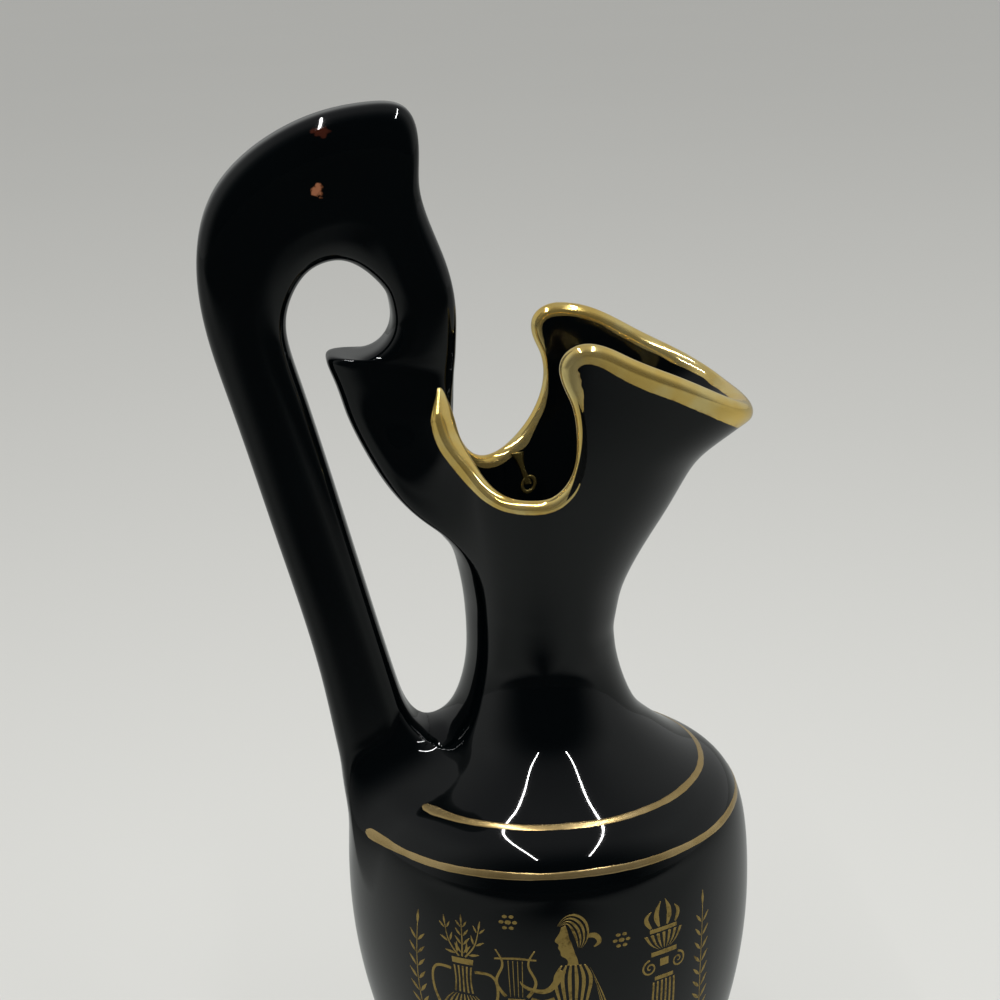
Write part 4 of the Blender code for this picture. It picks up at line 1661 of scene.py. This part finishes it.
@dataclass
class Pen:
    """Draws films on the belly in a motif's own millimetres: x to the right, y up from the ground."""

    host: Callable[[Array, Array], tuple[Array, Array]]
    place: float
    facing: Facing = Facing.RIGHT
    lift: float = 0.035
    sink: float = 0.1
    slit: float = 0.26

    def __post_init__(self) -> None:
        """Start with nothing drawn."""
        self.films: list[Skin] = []

    def _lay(self, left: Array, right: Array) -> None:
        """Turn and shift two edges to the motif's place and lay the film between them."""
        turn, shift = np.array([self.facing.value, 1.0]), np.array([self.place, 0.0])
        self.films.append(ribbon(self.host, left * turn + shift, right * turn + shift, self.lift, self.sink))

    def panel(self, left: Places, right: Places, strands: int = 1, rows: int = 18) -> None:
        """Fill between two edges, whole or as strands with dark slits between them.

        Args:
            left: Places along one edge.
            right: Places along the other edge.
            strands: How many strands to part it into.
            rows: Points along each strand.
        """
        at = np.linspace(0.0, 1.0, rows)
        first, last = curve_through(left)(at), curve_through(right)(at)
        width = np.linalg.norm(last - first, axis=1, keepdims=True) / strands
        inset = np.minimum(self.slit / 2 / width, 0.3) if strands > 1 else 0.0
        for i in range(strands):
            low, high = (i + inset) / strands, (i + 1 - inset) / strands
            self._lay(first + (last - first) * low, first + (last - first) * high)

    def both(self, edge: Places, strands: int = 1) -> None:
        """Fill between an edge and its mirror image across the motif's middle."""
        self.panel(edge, [(-x, y) for x, y in edge], strands)

    def box(self, half: float, low: float, high: float) -> None:
        """Fill a flat bar about the motif's middle."""
        self.both(((-half, low), (-half, high)))

    def stroke(self, path: Sequence, widths: Sequence[float], rows: int = 20) -> None:
        """Draw along a path with a changing width.

        Args:
            path: Places along the stroke's middle.
            widths: Widths at even steps along it.
            rows: Points along the stroke.
        """
        at = np.linspace(0.0, 1.0, rows)
        middle = curve_through(path)(at)
        side = right_hand(middle)
        width = np.interp(at, np.linspace(0.0, 1.0, len(widths)), widths)[:, None]
        self._lay(middle - side * width / 2, middle + side * width / 2)

    def leaf(self, root: tuple[float, float], tip: tuple[float, float], width: float) -> None:
        """Draw a pointed leaf from its root to its tip."""
        self.stroke([root, between(root, tip, 0.5), tip], [0.1, 0.8 * width, width, 0.6 * width, 0.08], 12)

    def dot(self, middle: tuple[float, float], radius: float) -> None:
        """Draw a round dot."""
        swell = 2 * radius * np.sqrt(np.maximum(1 - np.linspace(-0.99, 0.99, 13) ** 2, 0.0))
        self.stroke([(middle[0] - radius, middle[1]), (middle[0] + radius, middle[1])], swell, 13)

    def sprig(self, path: Sequence, leaves: int, length: float) -> None:
        """Draw a laurel sprig: a thin stem with pointed leaves set in pairs along it.

        Args:
            path: Places along the stem.
            leaves: Pairs of leaves.
            length: Length of the lowest leaves.
        """
        self.stroke(path, [0.4, 0.3, 0.2])
        stem = curve_through(path)
        for at in np.linspace(0.12, 0.92, leaves):
            root = stem(np.array(at))
            slope = unit(stem(np.array(at + 0.02)) - root)
            side = np.array([-slope[1], slope[0]])
            reach = length * (1 - 0.35 * at)
            for way in (-1.0, 1.0):
                tip = root + reach * (0.72 * slope + 0.7 * way * side)
                self.leaf(tuple(root + 0.2 * way * side), tuple(tip), 0.34 * reach)
        end = stem(np.array(1.0))
        self.leaf(tuple(end), tuple(end + unit(end - stem(np.array(0.95))) * 0.8 * length), 0.26 * length)

    def rosette(self, middle: tuple[float, float], radius: float, petals: int = 6) -> None:
        """Draw a ring of dots round a dot.

        Args:
            middle: The middle dot's place.
            radius: How far the ring reaches.
            petals: Dots in the ring.
        """
        self.dot(middle, 0.34 * radius)
        for k in range(petals):
            turn = 2 * math.pi * k / petals
            spot = (middle[0] + 0.74 * radius * math.cos(turn), middle[1] + 0.74 * radius * math.sin(turn))
            self.dot(spot, 0.27 * radius)


@dataclass
class Frieze:
    """The gold print on the belly's front: an amphora, a lyre player and a fire bowl on a column."""

    outline: TurnedOutline
    middle: float = -94.5
    top: float = 96.0
    tall: float = 37.7
    scale: float = 1.1
    half_run: float = 25.5
    ground_line: float = -0.3
    player_place: float = 0.9
    side_place: float = 15.4
    end_place: float = 23.2
    rosettes: Places = ((8.4, 32.5), (-8.8, 14.5), (8.8, 15.5), (-8.2, 36.4))
    rosette_radius: float = 1.35

    def on_belly(self, x: Array, y: Array) -> tuple[Array, Array]:
        """Points and normals on the belly for the print's coordinates.

        Args:
            x: Place to the right of the print's middle.
            y: Place above its ground line.

        Returns:
            Points and outward normals.
        """
        start = float(self.outline.length_at_height(self.top)) - self.scale * self.tall
        turn = self.scale * x / self.outline.belly_radius
        return self.outline.around(start + self.scale * y, math.radians(self.middle) + turn)

    def player(self, pen: Pen) -> None:
        """Draw a draped figure that stands in profile with a lyre.

        Args:
            pen: The pen at the figure's place.
        """
        brow = [(1.5, 35.6), (2.1, 34.5), (2.75, 33.3), (2.25, 32.9), (2.4, 32.4), (2.1, 31.9), (2.0, 31.2)]
        chin = [(1.2, 30.7), (0.9, 30.1), (1.1, 29.6)]
        nape = [(0.6, 36.0), (0.0, 34.6), (-0.6, 32.8), (-1.0, 31.4), (-1.2, 30.4), (-1.4, 29.5)]
        pen.panel(brow + chin, nape, rows=40)
        pen.slit = 0.17
        crown = [(2.0, 35.9), (1.0, 37.2), (-0.7, 37.7), (-2.3, 36.7)]
        crown += [(-2.8, 34.8), (-2.4, 33.2), (-1.6, 32.2)]
        hairline = [(1.5, 35.8), (0.6, 36.0), (0.0, 35.0), (-0.3, 34.1), (-0.6, 33.2), (-0.9, 32.3)]
        pen.panel(crown, hairline, 4, 24)
        pen.stroke([(-2.5, 34.0), (-3.6, 33.9), (-4.1, 32.9), (-3.3, 32.2)], [0.9, 1.2, 1.0, 0.3])
        pen.slit = 0.24
        back = [(-2.2, 29.5), (-3.2, 27.5), (-2.9, 25.0), (-2.3, 22.9)]
        chest = [(1.8, 29.6), (2.9, 27.8), (2.8, 25.6), (2.1, 23.0)]
        pen.panel(back, chest, 6)
        pen.stroke([(-2.5, 22.5), (0.0, 22.2), (2.3, 22.6)], [0.5, 0.6, 0.5])
        pen.panel([(-2.6, 21.9), (-3.6, 20.2), (-4.1, 18.2)], [(2.4, 22.0), (3.1, 20.4), (3.3, 18.6)], 8)
        skirt = [(-3.3, 17.8), (-4.2, 13.0), (-4.8, 7.0), (-5.6, 1.4)]
        pen.panel(skirt, [(2.9, 18.1), (3.6, 13.0), (3.4, 7.0), (4.2, 1.2)], 9, 26)
        cloak = [(-2.6, 29.2), (-5.4, 22.0), (-6.8, 12.0), (-7.4, 4.0)]
        pen.panel(cloak, [(-3.4, 26.6), (-4.3, 21.0), (-5.0, 12.0), (-6.0, 3.0)], 3, 24)
        pen.stroke([(1.4, 28.8), (4.0, 25.4), (6.6, 25.9)], [1.7, 1.4, 1.1, 0.8])
        pen.stroke([(6.5, 25.9), (7.2, 26.4), (7.6, 27.0)], [0.8, 0.6, 0.2])
        pen.stroke([(2.6, 24.0), (4.6, 23.6), (6.0, 24.2)], [1.2, 1.0, 0.6])
        for foot in (-3.2, 1.9):
            pen.stroke([(foot - 1.0, 0.7), (foot, 0.75), (foot + 1.8, 0.45)], [0.7, 0.9, 0.4])
        self.lyre(pen, 8.2, 21.6)

    def lyre(self, pen: Pen, x: float, y: float) -> None:
        """Draw a lyre: a round sound box, two curved arms, a yoke and strings.

        Args:
            pen: The pen at the player's place.
            x: Middle of the lyre.
            y: Its lowest point.
        """
        shell = ((1.2, 0.0), (2.1, 1.2), (1.9, 2.4))
        pen.panel([(x - a, y + b) for a, b in shell], [(x + a, y + b) for a, b in shell])
        for way in (-1.0, 1.0):
            arm = [(x + a * way, y + b) for a, b in ((1.6, 2.7), (2.9, 5.4), (1.9, 8.0), (2.9, 10.4))]
            pen.stroke(arm, [0.8, 0.6, 0.5, 0.3])
        pen.stroke([(x - 3.1, y + 8.9), (x, y + 9.1), (x + 3.1, y + 8.9)], [0.4, 0.5, 0.4])
        for k in (-1.5, -0.5, 0.5, 1.5):
            pen.stroke([(x + 0.6 * k, y + 2.7), (x + 0.7 * k, y + 8.7)], [0.17, 0.17], 8)

    def amphora(self, pen: Pen) -> None:
        """Draw a two-handled amphora on a step, with laurel sprigs in its mouth.

        Args:
            pen: The pen at the amphora's place.
        """
        pen.box(4.2, 0.3, 1.5)
        pen.box(3.2, 1.8, 2.8)
        pen.both([(-2.4, 3.1), (-1.6, 3.7), (-1.1, 4.6)])
        pen.both([(-1.4, 5.0), (-3.2, 8.6), (-4.4, 12.0)], 7)
        pen.both([(-4.6, 12.4), (-4.75, 13.2)])
        pen.both([(-4.75, 18.7), (-4.6, 19.5)])
        pen.both([(-4.45, 19.9), (-3.6, 22.0), (-2.0, 23.6)], 9)
        pen.both([(-1.75, 24.0), (-1.5, 26.3), (-1.7, 28.4)], 5)
        pen.both([(-2.5, 28.8), (-2.7, 29.7)])
        for way in (-1.0, 1.0):
            pen.stroke([(4.85 * way, 13.5), (5.0 * way, 16.0), (4.85 * way, 18.4)], [0.35, 0.4, 0.35])
            handle = [(1.9 * way, 27.7), (4.6 * way, 27.4), (5.3 * way, 24.4), (4.3 * way, 21.0)]
            pen.stroke(handle, [0.7, 0.6, 0.6, 0.8])
            pen.sprig([(0.5 * way, 30.0), (2.0 * way, 32.0), (2.7 * way, 34.6)], 3, 1.9)
        for k in range(-2, 3):
            pen.leaf((1.8 * k, 14.0), (1.8 * k, 18.2), 1.2)
        pen.sprig([(0.0, 30.0), (0.1, 32.6), (0.0, 35.2)], 4, 1.9)

    def column(self, pen: Pen) -> None:
        """Draw a fluted column with scrolls that carries a burning bowl.

        Args:
            pen: The pen at the column's place.
        """
        pen.box(3.8, 0.3, 1.5)
        pen.box(3.3, 1.8, 2.6)
        pen.both([(-2.6, 3.0), (-2.5, 12.0), (-2.2, 24.0)], 6)
        pen.box(2.5, 24.3, 24.9)
        pen.box(1.1, 26.5, 27.7)
        turn = np.linspace(0.5, 3.6, 26) * math.pi
        for way in (-1.0, 1.0):
            size = 1.5 - turn / 8.5
            scroll = np.stack([way * (2.5 - size * np.cos(turn)), 26.6 + size * np.sin(turn)], axis=1)
            pen.stroke(scroll, [0.5, 0.42, 0.34], 40)
        pen.box(3.6, 28.4, 29.1)
        pen.both([(-1.2, 29.4), (-2.6, 30.4), (-3.6, 31.9)], 7)
        pen.box(3.9, 32.2, 32.8)
        flames = (
            (-2.2, -2.9, -2.0, 1.1), (-0.8, -1.2, -0.3, 1.3), (0.6, 1.1, 0.5, 1.3), (2.1, 2.7, 2.1, 1.0),
        )
        for root, bend, tip, width in flames:
            tall = 37.6 - 0.9 * abs(root)
            pen.stroke([(root, 33.0), (bend, 34.8), (tip, tall)], [0.5, width, 0.8 * width, 0.1])

    def build(self, finish: bpy.types.Material) -> None:
        """Lay the print.

        Args:
            finish: Its material.
        """
        side = self.side_place
        places = ((self.player_place, Facing.LEFT), (-side, Facing.RIGHT), (side, Facing.RIGHT))
        pens = [Pen(self.on_belly, place, facing) for place, facing in places]
        for pen, draw in zip(pens, (self.player, self.amphora, self.column)):
            draw(pen)
        ground = Pen(self.on_belly, 0.0)
        line = [(x, self.ground_line) for x in (-self.half_run, 0.0, self.half_run)]
        ground.stroke(line, [0.5, 0.5], 90)
        for spot in self.rosettes:
            ground.rosette(spot, self.rosette_radius)
        for end in (-self.end_place, self.end_place):
            ground.sprig([(end, 0.2), (end + 0.5, 11.0), (end - 0.4, 23.0), (end + 0.1, 33.4)], 13, 2.9)
        lay_piece("frieze_print", [f for p in (*pens, ground) for f in p.films], finish)


# The studio


@dataclass
class Studio:
    """A pale floor, soft light and the camera at the photograph's angle."""

    eye: tuple[float, float, float] = (-44.9, -311.5, 252.65)
    heading: float = 7.14
    pitch: float = -17.42
    roll: float = -2.31
    lens: float = 72.0
    sensor: float = 36.0
    floor_reach: float = 6000.0
    overhead_power: float = 5.6
    strip_power: float = 0.8
    strip_size: tuple[float, float] = (5.0, 460.0)
    room_level: float = 0.66
    room: Colour = (1.0, 1.0, 0.985)
    room_walls: Colour = (0.49, 0.50, 0.49)
    room_above: Colour = (0.30, 0.30, 0.305)
    room_front: Colour = (0.02, 0.02, 0.022)

    def aim(self, thing: bpy.types.Object, right: Array, up: Array, back: Array, place: tuple) -> None:
        """Set an object's place, in millimetres, and its three directions."""
        columns = np.column_stack([right, up, back, np.array(place) * MM])
        thing.matrix_world = Matrix([*columns.tolist(), [0.0, 0.0, 0.0, 1.0]])

    def camera(self) -> None:
        """Set the camera: forward by heading and pitch, then rolled about its own axis."""
        turn, tilt, roll = (math.radians(a) for a in (self.heading, self.pitch, self.roll))
        forward = np.array([math.sin(turn) * math.cos(tilt), math.cos(turn) * math.cos(tilt), math.sin(tilt)])
        right = np.array([math.cos(turn), -math.sin(turn), 0.0])
        up = np.cross(right, forward)
        right, up = math.cos(roll) * right + math.sin(roll) * up, math.cos(roll) * up - math.sin(roll) * right
        data = bpy.data.cameras.new("camera")
        data.lens, data.sensor_width = self.lens, self.sensor
        data.clip_start, data.clip_end = 0.01, 50.0
        thing = add_object("camera", data)
        self.aim(thing, right, up, -forward, self.eye)
        bpy.context.scene.camera = thing

    def card(self, name: str, corners: Sequence, material: bpy.types.Material) -> None:
        """A flat staged card from its corners.

        Args:
            name: The card's name.
            corners: Its corners in millimetres.
            material: Its material.
        """
        mesh = bpy.data.meshes.new(name)
        mesh.from_pydata([tuple(MM * c for c in p) for p in corners], [], [tuple(range(len(corners)))])
        mesh.materials.append(material)
        thing = add_object(name, mesh)

    def lamp(
        self, name: str, place: tuple, target: tuple, size: Sequence[float], power: float, seen: bool
    ) -> None:
        """A rectangular lamp.

        Args:
            name: The lamp's name.
            place: Where it hangs, in millimetres.
            target: What it points at, in millimetres.
            size: Its two sides in millimetres.
            power: Its power in watts.
            seen: Whether reflections show it.
        """
        data = bpy.data.lights.new(name, "AREA")
        data.shape, data.energy = "RECTANGLE", power
        data.size, data.size_y = size[0] * MM, size[1] * MM
        thing = add_object(name, data)
        back = unit(np.subtract(place, target).astype(float))
        side = unit(np.cross((0.0, 1.0, 0.0), back))
        self.aim(thing, side, np.cross(back, side), back, place)
        thing.visible_camera = False
        thing.visible_glossy = seen

    def world(self) -> None:
        """An even pale room that reflections see darker overhead and dark behind the camera."""
        world = bpy.data.worlds.new("room")
        world.use_nodes = True
        sheet = Sheet(world.node_tree)
        way = sheet.node("ShaderNodeTexCoord", out="Generated")
        front = (-1.0 * way.part("Y")).step(0.05, 0.85)
        above = way.part("Z").step(0.3, 0.7) * (1 - abs(way.part("X")).step(0.35, 0.8))
        room = sheet.blend(above, self.room_walls, self.room_above)
        room = sheet.blend(front, room, self.room_front)
        colour = sheet.blend(sheet.glossy(), self.room, room)
        shade = sheet.node("ShaderNodeBackground", {}, {"Color": colour, "Strength": self.room_level})
        sheet.node("ShaderNodeOutputWorld", {}, {"Surface": shade})
        bpy.context.scene.world = world

    def build(self) -> None:
        """Lay the floor, hang the lamps and set the camera."""
        reach = self.floor_reach
        floor = [(-reach, -reach, 0.0), (reach, -reach, 0.0), (reach, reach, 0.0), (-reach, reach, 0.0)]
        self.card("floor", floor, PalePaper().material())
        self.lamp("overhead", (0, -100, 1400), (0, -100, 0), (1600, 1600), self.overhead_power, False)
        for name, x in (("strip_left", -110), ("strip_right", 150)):
            self.lamp(name, (x, -120, 560), (0, 0, 120), self.strip_size, self.strip_power, True)
        self.world()
        self.camera()
        bpy.context.scene.view_settings.view_transform = "Standard"


def main() -> None:
    """Build the vase piece by piece, then the studio."""
    logging.basicConfig(level=logging.INFO, format="%(name)s: %(message)s")
    glaze = BlackGlaze().material()
    gold = GoldLustre().material()
    satin = GoldLustre(
        name="gold_line", colour=(0.52, 0.37, 0.15), pale=(0.66, 0.49, 0.23), gloss=0.2
    ).material()
    thin = GoldLustre(
        name="gold_run",
        colour=(0.16, 0.12, 0.035),
        pale=(0.26, 0.20, 0.06),
        thin=(0.05, 0.03, 0.01),
        gloss=0.2,
    ).material()
    outline = TurnedOutline()
    foot_join = ClayJoin(FOOT_END, outline.gap, size=11.0, low=80.0, high=126.0, front=2.0, opposed=-2.0)
    body = Body(outline, foot_join)
    mouth = Mouth(outline)
    root_join = ClayJoin(ROOT_END, mouth.gap, size=9.0, low=134.0, high=170.0, front=2.0)
    mouth.joins = (foot_join, root_join)
    body.build(glaze)
    mouth.build(glaze)
    Handle(foot_join, root_join).build(glaze)
    Gilding(outline, mouth, body).build(gold, satin, thin)
    Frieze(outline).build(GoldPrint().material())
    Studio().build()


if __name__ == "__main__":
    main()
